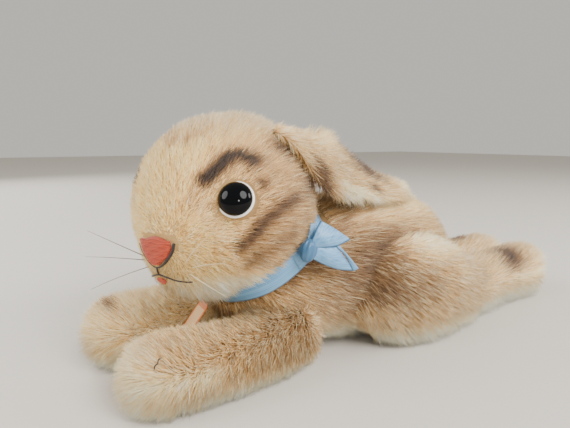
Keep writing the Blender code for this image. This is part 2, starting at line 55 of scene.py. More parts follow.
# ---------------------------------------------------------------- shared measures
NECK = np.array((0, -63.5, 55.5)) * MM
NECK_SLOPE = math.radians(56)
NECK_AXIS = np.array((0, -math.cos(NECK_SLOPE), math.sin(NECK_SLOPE)))
HEAD_CENTRE = np.array((0, -80, 72)) * MM
HEAD_RADIUS = 38.5 * MM
HEAD_TURN = math.radians(30)
FACE_ROLL = math.radians(-13)
MUZZLE_DROP = math.radians(38)
MUZZLE_REACH = 5 * MM
EYE_AZIMUTH = {1: math.radians(50), -1: math.radians(-63)}
EYE_LIFT = math.radians(6)
EYE_LOOK = math.radians(30)
EYE_LOOK_LIFT = math.radians(19)
EYE_SINK = 2.2 * MM
EYE_BARE = 7.1 * MM
NOSE_AZIMUTH = 1.5  # degrees, as are the face's other lines of stitching
COLLAR_RADIUS = 30.5 * MM
STRAND_SHARE = 1.0
MOST_STRANDS = 60000  # strands in one piece
STRANDS_ON = {"head": 78000, "body": 70000, "front leg": 34000, "hind leg": 40000, "tail": 5000, "ear": 21000}

# Stations of each stuffed form in millimetres: x, y, z, half width, half height
TORSO = [
    (0, 49, 32, 15, 18), (0, 39, 33.5, 25, 28.5), (0, 21, 35.5, 31, 36), (0, -3, 36.5, 32, 37.5),
    (0, -28, 37, 31, 35.5), (0, -50, 37, 29.5, 31.5), (0, -68, 34.5, 25, 27), (0, -86, 30, 15, 17.5),
]
FRONT_LEG_LEFT = [
    (19, -46, 19, 11.5, 15), (22, -62, 15.5, 12.5, 15), (24, -84, 13.2, 13, 13.2),
    (24, -106, 13.2, 13.6, 13.6), (23, -128, 13, 12.6, 12.6),
]
FRONT_LEG_RIGHT = [
    (-19, -46, 19.5, 11.5, 15.5), (-21, -64, 16.5, 13.5, 16), (-21, -88, 15, 14.3, 15),
    (-21, -113, 14.8, 14.8, 14.8), (-20.5, -135, 14.5, 13.5, 13.8),
]
HIND_LEG = [
    (21.5, -30, 22, 10.5, 16.5), (27, -7, 27, 13.8, 26), (30, 17, 26.5, 15, 26.5), (27, 42, 20.5, 14, 19.5),
    (20.5, 64, 17, 12.5, 16.8), (16.5, 90, 16.5, 12.5, 16.3), (15, 118, 16.5, 13, 16.7),
    (14.5, 143, 16.3, 12, 15.3),
]
TAIL = [(0, 50, 35, 7, 7), (0, 55, 38, 8.5, 8.5), (0, 61, 42, 7, 7)]
# Rows along the left ear in millimetres: x, y, z, half width, face normal; the first is in the head
LEFT_EAR = [
    (11.5, -63, 104, 13.5, 0.15, 0.70, 0.70),
    (15, -53, 102, 15, 0.42, 0.62, 0.66), (19.5, -39, 93.5, 16, 0.78, 0.38, 0.48),
    (17, -25, 87, 14, 0.78, 0.22, 0.58), (15, -6, 80.8, 10.5, 0.62, 0.18, 0.76),
    (12.5, 9, 77.5, 8, 0.50, 0.14, 0.85), (11, 18, 76.8, 4.5, 0.40, 0.10, 0.90),
]


# ---------------------------------------------------------------- arrays
def unit(a):
    return a / np.maximum(np.linalg.norm(a, axis=-1, keepdims=True), 1e-12)


def along(rows, steps):
    """Rows read at steps 0..1 of the Catmull-Rom curve through them."""
    rows = np.array(rows, float)
    ends = np.vstack([2 * rows[0] - rows[1], rows, 2 * rows[-1] - rows[-2]])
    place = np.asarray(steps) * (len(rows) - 1)
    span = np.minimum(place.astype(int), len(rows) - 2)
    f = (place - span)[:, None]
    a, b, c, d = (ends[span + k] for k in range(4))
    return 0.5 * (2 * b + (c - a) * f + (2 * a - 5 * b + 4 * c - d) * f**2 + (3 * b - a - 3 * c + d) * f**3)


def about(points, axis, angle, centre=None):
    """Points turned by the right-hand rule: p cos t + (n x p) sin t + n (n.p)(1 - cos t)."""
    centre = np.zeros(3) if centre is None else centre
    p = np.asarray(points, float) - centre
    n = np.asarray(axis, float)
    swung = p * math.cos(angle) + np.cross(n, p) * math.sin(angle)
    return centre + swung + n * (p @ n)[..., None] * (1 - math.cos(angle))


def smooth(low, high, value):
    """0 below low, 1 above high, 3t^2 - 2t^3 between."""
    t = np.clip((value - low) / (high - low), 0, 1)
    return t * t * (3 - 2 * t)


def bell(value, centre, width):
    """exp(-((value - centre) / width)^2)."""
    return np.exp(-(((value - centre) / width) ** 2))


def wobble(points, size, seed, octaves=5):
    """Coherent noise near -1..1: a sum of sines along seeded directions, of wavelength about size."""
    rng = np.random.default_rng(seed)
    waves = rng.normal(size=(octaves, 3))
    waves = unit(waves) * 2 * np.pi / size * rng.uniform(0.6, 1.7, (octaves, 1))
    phase = rng.uniform(0, 2 * np.pi, octaves)
    return np.sin(points @ waves.T + phase).sum(axis=1) / octaves**0.5


def around(sides):
    """Equal turns from 0 up to 2 pi, set out as [1, side, 1]."""
    return np.linspace(0, 2 * np.pi, sides, endpoint=False)[None, :, None]


# ---------------------------------------------------------------- meshes
def placed(name, data):
    """A new object in the scene, at the origin and unturned."""
    item = bpy.data.objects.new(name, data)
    bpy.context.collection.objects.link(item)
    return item


def linear(colour):
    """An 0-255 screen colour as the linear values a shader takes."""
    c = np.asarray(colour, float) / 255
    return np.where(c <= 0.04045, c / 12.92, ((c + 0.055) / 1.055) ** 2.4)


def mesh_object(name, points, faces, material):
    """An object at the origin, turned right way out where its volume comes out negative.

    The volume is the sum of a . (b x c) over the triangles a, b, c that its faces fan into.
    """
    points = np.asarray(points, float)
    fans = np.array([(face[0], face[k], face[k + 1]) for face in faces for k in range(1, len(face) - 1)])
    a, b, c = (points[fans[:, k]] for k in range(3))
    if (a * np.cross(b, c)).sum() < 0:
        faces = [face[::-1] for face in faces]
    mesh = bpy.data.meshes.new(name)
    mesh.from_pydata(points.tolist(), [], faces)
    mesh.update()
    mesh.shade_smooth()
    mesh.materials.append(material)
    return placed(name, mesh)


def points_of(item):
    """The mesh's points as an array [point, xyz]."""
    points = np.empty(len(item.data.vertices) * 3, np.float32)
    item.data.vertices.foreach_get("co", points)
    return points.reshape(-1, 3).astype(float)


def closed_form(name, grid, material, poles=None):
    """A closed mesh from rings of points [ring, side, xyz] and a pole point at each end.

    Corner (i, j) is point i sides + j, so a quad is (i, j), (i, j + 1), (i + 1, j + 1), (i + 1, j).
    """
    rings, sides = grid.shape[:2]
    first, last = poles if poles is not None else (grid[0].mean(axis=0), grid[-1].mean(axis=0))
    points = np.vstack([grid.reshape(-1, 3), first, last])
    i, j = np.divmod(np.arange((rings - 1) * sides), sides)
    k = (j + 1) % sides
    quads = np.stack([i * sides + j, i * sides + k, (i + 1) * sides + k, (i + 1) * sides + j], -1)
    j = np.arange(sides)
    k = (j + 1) % sides
    start, end, rim = rings * sides, rings * sides + 1, (rings - 1) * sides
    caps = np.stack([start + 0 * j, k, j, end + 0 * j, rim + j, rim + k], -1).reshape(-1, 3)
    return mesh_object(name, points, quads.tolist() + caps.tolist(), material)


def tube(name, points, radius, material, sides=8):
    """A round closed tube: p(i) + r(i) (side cos a + lift sin a) along a path of points."""
    points = np.asarray(points, float)
    radius = np.broadcast_to(np.asarray(radius, float), (len(points),))
    ahead = unit(np.gradient(points, axis=0))
    side = unit(np.cross(ahead, (0.31, 0.52, 0.79)))
    lift = np.cross(side, ahead)
    turn = around(sides)
    out = side[:, None] * np.cos(turn) + lift[:, None] * np.sin(turn)
    grid = points[:, None] + radius[:, None, None] * out
    return closed_form(name, grid, material, (points[0], points[-1]))


def merged(name, items):
    """One object from several, joined in the order given."""
    points, faces, materials, index, count = [], [], [], [], 0
    for item in items:
        mesh = item.data
        points.append(points_of(item))
        if mesh.materials[0] not in materials:
            materials.append(mesh.materials[0])
        for face in mesh.polygons:
            faces.append(tuple(v + count for v in face.vertices))
            index.append(materials.index(mesh.materials[0]))
        count += len(mesh.vertices)
        bpy.data.objects.remove(item, do_unlink=True)
    made = bpy.data.meshes.new(name)
    made.from_pydata(np.vstack(points).tolist(), [], faces)
    made.polygons.foreach_set("material_index", index)
    made.update()
    made.shade_smooth()
    for one in materials:
        made.materials.append(one)
    return placed(name, made)


def grid_normals(grid):
    """Outward unit normals of a grid of closed rings."""
    run = np.gradient(grid, axis=0)
    turn = np.roll(grid, -1, axis=1) - np.roll(grid, 1, axis=1)
    normal = unit(np.cross(turn, run))
    outward = ((grid - grid.mean(axis=1, keepdims=True)) * normal).sum(axis=-1)
    normal *= np.sign(np.median(outward))
    return normal


# ---------------------------------------------------------------- forms
def frames(stations, steps):
    """Rows read at steps, with each place's centre and its unit ways ahead, sideways and up."""
    rows = along(stations, steps) * MM
    centre = rows[:, :3]
    ahead = unit(np.gradient(centre, axis=0))
    side = unit(np.cross(ahead, UP))
    return rows, centre, ahead, side, np.cross(side, ahead)


def taper(steps, ends):
    """sqrt((1 - a^2)(1 - b^2)), where a and b rise from 0 to 1 towards each end."""
    first = np.clip(1 - steps / ends[0], 0, 1)
    last = np.clip(1 - (1 - steps) / ends[1], 0, 1)
    return np.sqrt((1 - first**2) * (1 - last**2))


def stuffed(stations, rings, sides, ends=(0.16, 0.16), floor=1.2 * MM, inset=1.5 * MM):
    """Ellipses along the stations: centre + taper (side w cos a + lift h sin a), less inset, above floor."""
    steps = (1 - np.cos(np.pi * np.linspace(0, 1, rings + 2))) / 2
    rows, centre, _, side, lift = frames(stations, steps)
    size = taper(steps, ends)[1:-1, None, None]
    turn = around(sides)
    across = side[1:-1, None] * rows[1:-1, 3, None, None] * np.cos(turn)
    upward = lift[1:-1, None] * rows[1:-1, 4, None, None] * np.sin(turn)
    grid = centre[1:-1, None] + size * (across + upward)
    grid = grid - grid_normals(grid) * inset
    grid[..., 2] = np.maximum(grid[..., 2], floor)
    return grid


def depth_in(points, stations, ends=(0.16, 0.16)):
    """1 - q, where q is 1 on the skin of a stuffed form and 0 on its middle line."""
    steps = np.linspace(0.01, 0.99, 48)
    rows, centre, ahead, side, lift = frames(stations, steps)
    size = taper(steps, ends)
    offset = points[:, None] - centre[None]
    along_it = np.abs((offset * ahead).sum(-1))
    near = np.argmin(along_it + 0.15 * np.linalg.norm(offset, axis=-1), axis=1)
    pick = offset[np.arange(len(points)), near]
    wide = np.maximum(rows[near, 3] * size[near], 1e-4)
    high = np.maximum(rows[near, 4] * size[near], 1e-4)
    q = np.sqrt(((pick * side[near]).sum(-1) / wide) ** 2 + ((pick * lift[near]).sum(-1) / high) ** 2)
    gap = np.abs((pick * ahead[near]).sum(-1)) / (4 * MM)
    return 1 - np.maximum(q, gap)


def face_direction(azimuth, lift):
    """Direction from the straight head's centre, rolled by FACE_ROLL about the way it faces."""
    x = np.sin(azimuth) * np.cos(lift)
    z = np.sin(lift) + 0 * azimuth
    roll, tip = math.cos(FACE_ROLL), math.sin(FACE_ROLL)
    return np.stack([x * roll - z * tip, -np.cos(azimuth) * np.cos(lift), z * roll + x * tip], axis=-1)


MUZZLE = face_direction(np.array(0.0), np.array(-MUZZLE_DROP))


def head_radius(direction):
    """A ball with a muzzle: R + r exp((cos angle to the muzzle - 1) / 0.085)."""
    return HEAD_RADIUS + MUZZLE_REACH * np.exp((direction @ MUZZLE - 1) / 0.085)


def turned_head(points):
    """From the straight head to the head at rest, turned about the neck's pin."""
    return about(points, NECK_AXIS, HEAD_TURN, NECK)


def head_point(azimuth, lift, proud=0.0):
    """A place on the head at rest, proud of its cloth."""
    way = face_direction(np.asarray(azimuth, float), np.asarray(lift, float))
    return turned_head(HEAD_CENTRE + way * (head_radius(way) + proud)[..., None])


def head_path(points, steps, proud):
    """Places along a smooth line over the head through (azimuth, lift) in degrees."""
    place = np.radians(along(points, np.linspace(0, 1, steps)))
    return head_point(place[:, 0], place[:, 1], proud)


HEAD_MIDDLE = turned_head(HEAD_CENTRE)


def face_angles(points):
    """Azimuth and lift in degrees, in the face's own frame, of points round the head at rest."""
    way = about(unit(points - HEAD_MIDDLE), NECK_AXIS, -HEAD_TURN)
    way = about(way, (0, -1, 0), -FACE_ROLL)
    return np.degrees(np.arctan2(way[:, 0], -way[:, 1])), np.degrees(np.arcsin(np.clip(way[:, 2], -1, 1)))


def head_grid(inset, rings=100, sides=110):
    """Rings about the muzzle's direction; what lies under the neck plane slides up onto it."""
    side = face_direction(np.array(math.pi / 2), np.array(0.0))
    lift = np.cross(side, MUZZLE)
    polar = np.linspace(0, 1, rings + 2)[1:-1, None, None] * np.pi
    turn = around(sides)
    way = MUZZLE * np.cos(polar) + np.sin(polar) * (side * np.cos(turn) + lift * np.sin(turn))
    grid = HEAD_CENTRE + way * (head_radius(way) - inset)[..., None]
    height = (grid - NECK) @ NECK_AXIS
    grid = grid + NECK_AXIS * np.maximum(0.6 * MM - height, 0)[..., None]
    return turned_head(grid)


def torso_grid(rings=90, sides=90):
    """The stuffed torso; what lies above the neck plane slides down onto it."""
    grid = stuffed(TORSO, rings, sides)
    height = (grid - NECK) @ NECK_AXIS
    return grid - NECK_AXIS * np.maximum(height + 0.8 * MM, 0)[..., None]


EAR_RINGS = 60
EAR_SIDES = 40


def ear_grid(rows, half=1.3 * MM, cup=-1.2 * MM):
    """A leaf's rings: centre + side w cos a + face (half sin a + cup cos^2 a), round at the tip."""
    steps = np.linspace(0, 1, EAR_RINGS)
    data = along(rows, steps)
    centre = data[:, :3] * MM
    ahead = unit(np.gradient(centre, axis=0))
    side = unit(np.cross(ahead, unit(data[:, 4:7])))
    face = np.cross(side, ahead)
    turn = around(EAR_SIDES)
    size = taper(steps, (0.001, 0.10))[:, None, None]
    size[-1] = 0.04
    across = size * side[:, None] * data[:, 3, None, None] * MM * np.cos(turn)
    thick = face[:, None] * (half * size * np.sin(turn) + cup * size * np.cos(turn) ** 2)
    return centre[:, None] + across + thick


# ---------------------------------------------------------------- materials
def opaque(colour):
    """A 0-255 screen colour as the four linear values of a colour socket."""
    return (*linear(colour), 1)


def fill_inputs(node, values):
    """Set a node's inputs, which values names in lower case."""
    for key, value in values.items():
        node.inputs[key.replace("_", " ").title()].default_value = value


def node_material(name, colour, roughness=0.6, **values):
    """A plain material; values name more of its shader's inputs, in lower case."""
    made = bpy.data.materials.new(name)
    made.use_nodes = True
    shader = made.node_tree.nodes["Principled BSDF"]
    fill_inputs(shader, {"base_color": opaque(colour), "roughness": roughness, **values})
    return made


def added(tree, kind, **values):
    """A new shader node of a kind, with some of its inputs set."""
    node = tree.nodes.new("ShaderNode" + kind)
    fill_inputs(node, values)
    return node


# Dyed and faded tones of the mohair, from nearly white to nearly black, then yellower and greyer
PALETTE = np.array([
    (250, 246, 236), (240, 228, 204), (228, 209, 176), (217, 195, 158), (206, 181, 143), (195, 168, 131),
    (182, 154, 119), (166, 138, 105), (149, 121, 90), (130, 103, 76), (110, 85, 61), (88, 66, 47),
    (50, 36, 26), (236, 212, 160), (220, 192, 140), (200, 170, 120), (224, 216, 198), (204, 194, 174),
    (182, 170, 150), (156, 136, 116),
], float)


def rich(colour):
    """Dyed mohair: the linear colour, and the more tan it is the more red and the less blue it gets."""
    colour = np.asarray(colour, float)
    dyed = np.clip((1 - colour[..., 2:] / np.maximum(colour[..., :1], 1)) / 0.2, 0, 1)
    return np.clip(linear(colour) * (1 + dyed * np.array((0.20, 0.0, -0.36))), 0, 0.94)


def strand_material(number, colour):
    """The material of one tone of strand."""
    made = node_material(f"mohair_{number:02d}", colour, 0.6, sheen_weight=0.08)
    made.node_tree.nodes["Principled BSDF"].inputs["Base Color"].default_value = (*rich(colour), 1)
    return made


STRANDS = [strand_material(k + 1, colour) for k, colour in enumerate(PALETTE)]


def joined(tree, *links):
    """Join sockets, each link being a node, its output, a node and its input."""
    for giver, output, taker, place in links:
        tree.links.new(giver.outputs[output], taker.inputs[place])


def roughened(tree, strength, distance, **values):
    """Bump the shader by noise over Object coordinates, and return the noise; values set its inputs."""
    place = added(tree, "TexCoord")
    noise = added(tree, "TexNoise", **values)
    bump = added(tree, "Bump", strength=strength, distance=distance)
    joined(tree, (place, "Object", noise, "Vector"), (noise, "Fac", bump, "Height"),
           (bump, "Normal", tree.nodes["Principled BSDF"], "Normal"))
    return noise


def skin_material(name):
    """Cloth at the roots of the pile: its Tone attribute, mottled, over a woolly bump."""
    made = node_material(name, (180, 150, 118), 0.9)
    tree = made.node_tree
    tone = added(tree, "Attribute")
    tone.attribute_name = "Tone"
    speck = roughened(tree, 0.6, 0.0006, scale=900, detail=3)
    mottle = added(tree, "Mix")
    mottle.data_type = "RGBA"
    mottle.blend_type = "MULTIPLY"
    mottle.inputs[0].default_value = 0.5
    joined(tree, (tone, "Color", mottle, 6), (speck, "Fac", mottle, 7),
           (mottle, 2, tree.nodes["Principled BSDF"], "Base Color"))
    return made


CLOTH = skin_material("mohair_backing")


def tone_of(item, colour_of, share=0.8):
    """Write a colour field, darkened by share, into the skin's Tone attribute."""
    colour = rich(np.clip(colour_of(points_of(item)) * share, 0, 255))
    tone = item.data.attributes.new("Tone", "FLOAT_COLOR", "POINT")
    solid = np.column_stack([colour, np.ones(len(colour))])
    tone.data.foreach_set("color", solid.astype(np.float32).ravel())


def skin_of(name, grid, colour_of):
    """A closed skin of backing cloth with its tones."""
    skin = closed_form(name, grid, CLOTH)
    tone_of(skin, colour_of)
    return skin


# ---------------------------------------------------------------- pile
def sow(grid, count, rng, weight=None):
    """Count roots spread over a grid of closed rings by area: points, normals and (ring, side) places."""
    normal = grid_normals(grid)
    sides = grid.shape[1]
    across = np.roll(grid, -1, axis=1)
    area = np.linalg.norm(np.cross(grid[1:] - grid[:-1], across[:-1] - grid[:-1]), axis=-1)
    if weight is not None:
        area = area * weight(0.5 * (grid[1:] + grid[:-1]).reshape(-1, 3)).reshape(area.shape)
    share = (area / area.sum()).ravel()
    cell = rng.choice(len(share), size=count, p=share)
    i, j = cell // sides, cell % sides
    k = (j + 1) % sides
    u, v = rng.random((2, count, 1))

    def blend(values):
        low = values[i, j] * (1 - v) + values[i, k] * v
        high = values[i + 1, j] * (1 - v) + values[i + 1, k] * v
        return low * (1 - u) + high * u

    return blend(grid), unit(blend(normal)), i + u[:, 0], j + v[:, 0]


def pile(name, body, roots, normals, comb, length, lift, colour, rng,
         width=0.30 * MM, clump=0.35, cell=2.4 * MM, frost=0.2):
    """Tapered strands.  Each leans along comb, lift radians above the skin, and its tip is drawn
    part way to its lock's tip, a lock being the strands rooted in one cell of space.  The frost
    share of them are longer and nearly white, fewer where the pile is dark.
    """
    count = len(roots)
    comb = comb - normals * (comb * normals).sum(-1, keepdims=True)
    comb = unit(comb + 0.2 * rng.normal(size=(count, 3)))
    comb = unit(comb - normals * (comb * normals).sum(-1, keepdims=True))
    rise = lift + 0.16 * rng.normal(size=count) + 0.12 * wobble(roots, 9 * MM, 3)
    rise = np.clip(rise, 0.12, 1.45)[:, None]
    way = normals * np.sin(rise) + comb * np.cos(rise)
    guard = rng.random(count) < frost * np.clip((colour.mean(axis=1) - 70) / 90, 0, 1)
    length = (length * rng.uniform(0.72, 1.18, count) * (1 + 0.28 * guard))[:, None]
    tips = roots + way * length
    key = np.floor(roots / cell + 0.5 * np.stack([wobble(roots, 5 * MM, s) for s in (11, 12, 13)], -1))
    key = (key - key.min(axis=0)).astype(np.int64)
    _, lock = np.unique(key @ np.array([1, 4096, 4096 * 4096]), return_inverse=True)
    lock = lock.ravel()
    members = np.bincount(lock)[:, None]
    middle = np.stack([np.bincount(lock, tips[:, c]) for c in range(3)], -1) / members
    tips = tips + (middle[lock] - tips) * clump * rng.uniform(0.3, 1.5, (count, 1))
    tips[:, 2] = np.maximum(tips[:, 2], 0.25 * MM)
    way = unit(tips - roots)
    side = unit(np.cross(way, rng.normal(size=(count, 3))))
    lift_way = np.cross(way, side)
    radius = (width / math.sqrt(3)) * rng.uniform(0.7, 1.3, (count, 1))
    base = roots - normals * 0.3 * MM
    corners = [
        base + radius * (side * math.cos(a) + lift_way * math.sin(a))
        for a in (0, 2 * math.pi / 3, 4 * math.pi / 3)
    ]
    points = np.stack([*corners, tips], axis=1)
    shade = colour + rng.normal(size=(count, 1)) * 9 + 8 * wobble(roots, 7 * MM, 5)[:, None]
    shade = mix(shade, (248, 243, 232), 0.55 * guard)
    picked = np.argmin(((shade[:, None] - PALETTE[None]) ** 2).sum(-1), axis=1)
    made = []
    pieces = max(1, math.ceil(count / MOST_STRANDS))
    for part in range(pieces):
        some = slice(part * count // pieces, (part + 1) * count // pieces)
        label = name if pieces == 1 else f"{name}_{part + 1}"
        made.append(strand_mesh(label, points[some], picked[some]))
        if body:
            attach(made[-1], body)
    return made


def strand_mesh(name, points, picked):
    """Three-sided spikes: points [strand, 4, xyz] with the tip last."""
    count = len(points)
    faces = np.array([(0, 1, 3), (1, 2, 3), (2, 0, 3)])
    loops = (np.arange(count)[:, None, None] * 4 + faces[None]).reshape(-1)
    mesh = bpy.data.meshes.new(name)
    mesh.vertices.add(count * 4)
    mesh.vertices.foreach_set("co", points.reshape(-1).astype(np.float32))
    mesh.loops.add(len(loops))
    mesh.loops.foreach_set("vertex_index", loops.astype(np.int32))
    mesh.polygons.add(count * 3)
    mesh.polygons.foreach_set("loop_start", np.arange(count * 3, dtype=np.int32) * 3)
    used = np.unique(picked)
    for k in used:
        mesh.materials.append(STRANDS[k])
    where = np.searchsorted(used, picked)
    mesh.polygons.foreach_set("material_index", np.repeat(where, 3).astype(np.int32))
    mesh.update(calc_edges=True)
    mesh.shade_smooth()
    return placed(name, mesh)


# ---------------------------------------------------------------- colour fields, 0-255
def mix(a, b, weight):
    """a + (b - a) weight, where weight has one value for each point."""
    return a + (np.asarray(b, float) - a) * np.asarray(weight)[..., None]


def stroke(azimuth, lift, line, width):
    """Bell of the angle in degrees from the nearest place on a line of (azimuth, lift)."""
    place = np.radians(along(line, np.linspace(0, 1, 24)))
    here = np.radians(np.stack([azimuth, lift], -1))

    def way(angles):
        turn, rise = angles.T
        return np.stack([np.sin(turn) * np.cos(rise), -np.cos(turn) * np.cos(rise), np.sin(rise)], -1)

    near = np.clip(way(here) @ way(place).T, -1, 1).max(axis=1)
    return np.exp(-((np.degrees(np.arccos(near)) / width) ** 2))


# Marks on the face, the last of them painted shade in the fold along the ear's root: colour, strength, line
# of (azimuth, lift) in degrees, width in degrees
FACE_MARKS_AND_FOLD_SHADE = [
    ((232, 214, 182), 0.8, [(31, -1), (37, -7), (43, -14)], 6),
    ((230, 204, 152), 0.5, [(46, -8), (52, -9)], 4),
    ((168, 142, 112), 0.55, [(1, 40), (12, 45), (23, 49)], 4.5),
    ((176, 150, 120), 0.45, [(24, 4), (30, 12), (40, 30)], 6),
    ((26, 16, 10), 1.0, [(31, 16.5), (38, 22.5), (45, 29), (52, 30.5), (60, 27)], 4.4),
    ((60, 42, 30), 0.8, [(63, 15.5), (65, 14)], 2.4),
    ((120, 94, 70), 0.4, [(36, 3), (37, 2)], 2.4),
    ((78, 55, 38), 0.95, [(50, -20), (59, -12), (66.5, -5), (76, 1.5), (86, 5.5)], 4),
    ((120, 92, 66), 0.6, [(56, -30), (70, -22), (84, -12)], 5),
    # painted shade: dark brown in the fold where the ear's root meets the head
    ((84, 60, 42), 0.85, [(84, 38), (94, 36), (106, 33), (104, 22), (102, 12)], 7),
]


def plain(colour, points):
    """One colour at every point."""
    return np.tile(np.array(colour, float), (len(points), 1))


def head_colour(points):
    """Pale at the front, tan on the cheeks and crown, nearly white at the chin, then the marks and the
    painted shade along the ear's root.
    """
    azimuth, lift = face_angles(points)
    azimuth = np.abs(azimuth)
    c = plain((242, 212, 164), points)
    c = mix(c, (182, 154, 119), smooth(24, 70, azimuth) * smooth(60, 25, np.abs(lift)))
    c = mix(c, (206, 182, 147), smooth(30, 60, lift))
    c = mix(c, (202, 174, 138), smooth(95, 130, azimuth))
    c = mix(c, (240, 232, 214), smooth(-34, -46, lift))
    for colour, strength, line, width in FACE_MARKS_AND_FOLD_SHADE:
        c = mix(c, colour, strength * stroke(azimuth, lift, line, width))
    return c


def torso_colour(points):
    """Tan, brown on the flanks, painted shade in the crease where the haunch meets the flank, yellower along
    the back, nearly white at the belly, and a band of painted shade just below the neck ribbon.
    """
    x, y, z = (points / MM).T
    c = plain((196, 170, 134), points)
    c = mix(c, (116, 86, 60), 0.9 * bell(y, -22, 30) * bell(z, 44, 20) * smooth(14, 26, np.abs(x)))
    # painted shade: dark brown in the crease between the haunch's top and the flank
    c = mix(c, (84, 60, 40), 0.7 * bell(y, -8, 15) * bell(z, 50, 9) * smooth(18, 28, np.abs(x)))
    c = mix(c, (236, 214, 166), smooth(58, 70, z) * smooth(-30, -5, y))
    c = mix(c, (250, 246, 236), 0.9 * smooth(22, 10, z))
    c = mix(c, (178, 150, 118), smooth(-58, -75, y))
    # painted shade: a dark band just below the neck ribbon
    c = mix(c, (112, 84, 58), 0.6 * bell((points - NECK) @ NECK_AXIS / MM, -12, 3) * smooth(30, 45, z))
    return c


def front_colour(points):
    """Tan, a painted highlight whitening the paw, pale on its side seam, the right leg painted paler as if
    lit, nearly white beneath where pale pile is whitened further as painted light from behind and off the
    floor, with a brown spot at the toes.
    """
    x, y, z = (points / MM).T
    c = plain((180, 150, 113), points)
    c = mix(c, (160, 130, 96), smooth(-92, -60, y))
    # painted highlight: the paw whitened where light catches it
    c = mix(c, (240, 230, 208), 0.8 * smooth(-110, -126, y))
    # painted light: the right front leg made paler above 12 mm, as a lit copy of the left
    c = mix(c, (222, 194, 156), smooth(0, -10, x) * smooth(8, 12, z))
    # pale pile beneath, whitened further as painted light from behind and off the floor
    c = mix(c, (250, 246, 236), 0.95 * smooth(13, 5, z))
    c = mix(c, (246, 234, 204), 0.9 * bell(z, 15, 3.5) * smooth(25, 34, np.abs(x)) * smooth(-88, -100, y))
    c = mix(c, (104, 74, 50), 0.8 * bell(y, -124, 3.5) * bell(z, 27, 3))
    return c


def hind_colour(points):
    """Tan, pale pile over the haunch's top brightened further as a painted highlight, nearly white beneath
    where pale pile is whitened further as painted light from behind and off the floor, brown before the
    haunch and on the foot's outer side.
    """
    x, y, z = (points / MM).T
    c = plain((202, 175, 139), points)
    c = mix(c, (150, 119, 86), 0.8 * bell(y, 4, 18) * bell(z, 34, 14))
    c = mix(c, (116, 86, 60), 0.9 * smooth(4, -16, y) * smooth(20, 32, z))
    # pale pile on the haunch's top, brightened as a painted highlight
    c = mix(c, (246, 232, 204), 0.85 * smooth(41, 49, z) * smooth(-4, 9, y))
    # pale pile beneath, whitened further as painted light from behind and off the floor
    c = mix(c, (250, 246, 236), 0.95 * smooth(17, 7, z))
    c = mix(c, (60, 42, 28), 0.95 * bell(y, 98, 12) * bell(z, 28, 9) * smooth(8, 19, np.abs(x)))
    c = mix(c, (140, 110, 80), 0.5 * bell(y, 60, 16) * bell(z, 26, 7))
    c = mix(c, (244, 232, 204), 0.8 * bell(z, 17, 2.2) * smooth(88, 96, y))
    c = mix(c, (238, 232, 218), smooth(120, 138, y))
    return c


def ear_colour(points):
    """Painted shade at the root's lower edge, in the fold against the head; brown in a patch beyond the
    middle, cream above and on the seam.
    """
    _, y, z = (points / MM).T
    up = z - np.interp(y, [r[1] for r in LEFT_EAR], [r[2] for r in LEFT_EAR])
    c = plain((198, 171, 136), points)
    c = mix(c, (240, 226, 198), 0.5 * smooth(1, 6, up) * smooth(-18, -28, y))
    # painted shade: dark brown at the root's lower edge, in the fold against the head
    c = mix(c, (84, 60, 42), 0.9 * bell(y, -47, 6) * smooth(-2, -8, up))
    c = mix(c, (78, 54, 37), 0.9 * bell(y, -11, 11) * smooth(-2.5, 2, up))
    c = mix(c, (60, 42, 30), 0.8 * bell(y, -13, 3.5) * bell(up, -5, 2))
    c = mix(c, (248, 238, 210), 0.9 * smooth(-5.5, -8, up) * smooth(-40, -32, y))
    c = mix(c, (240, 228, 202), smooth(4, 14, y))
    return c


def tail_colour(points):
    return plain((226, 210, 178), points)


# ---------------------------------------------------------------- the stuffed pieces
def across_head(places, base=NECK):
    """The matching places on the other side of the turned head; a base of zero turns directions."""
    straight = about(np.asarray(places, float) - base, NECK_AXIS, -HEAD_TURN)
    return about(straight * np.array((-1, 1, 1)), NECK_AXIS, HEAD_TURN) + base


def other_ear_colour(points):
    return ear_colour(across_head(points))


def other_ear(rows):
    rows = np.array(rows, float)
    return np.column_stack([
        across_head(rows[:, :3], NECK / MM), rows[:, 3], across_head(rows[:, 4:], np.zeros(3)),
    ])


def keep(mask, *arrays):
    """The rows of each array where the mask is True."""
    return [a[mask] for a in arrays]


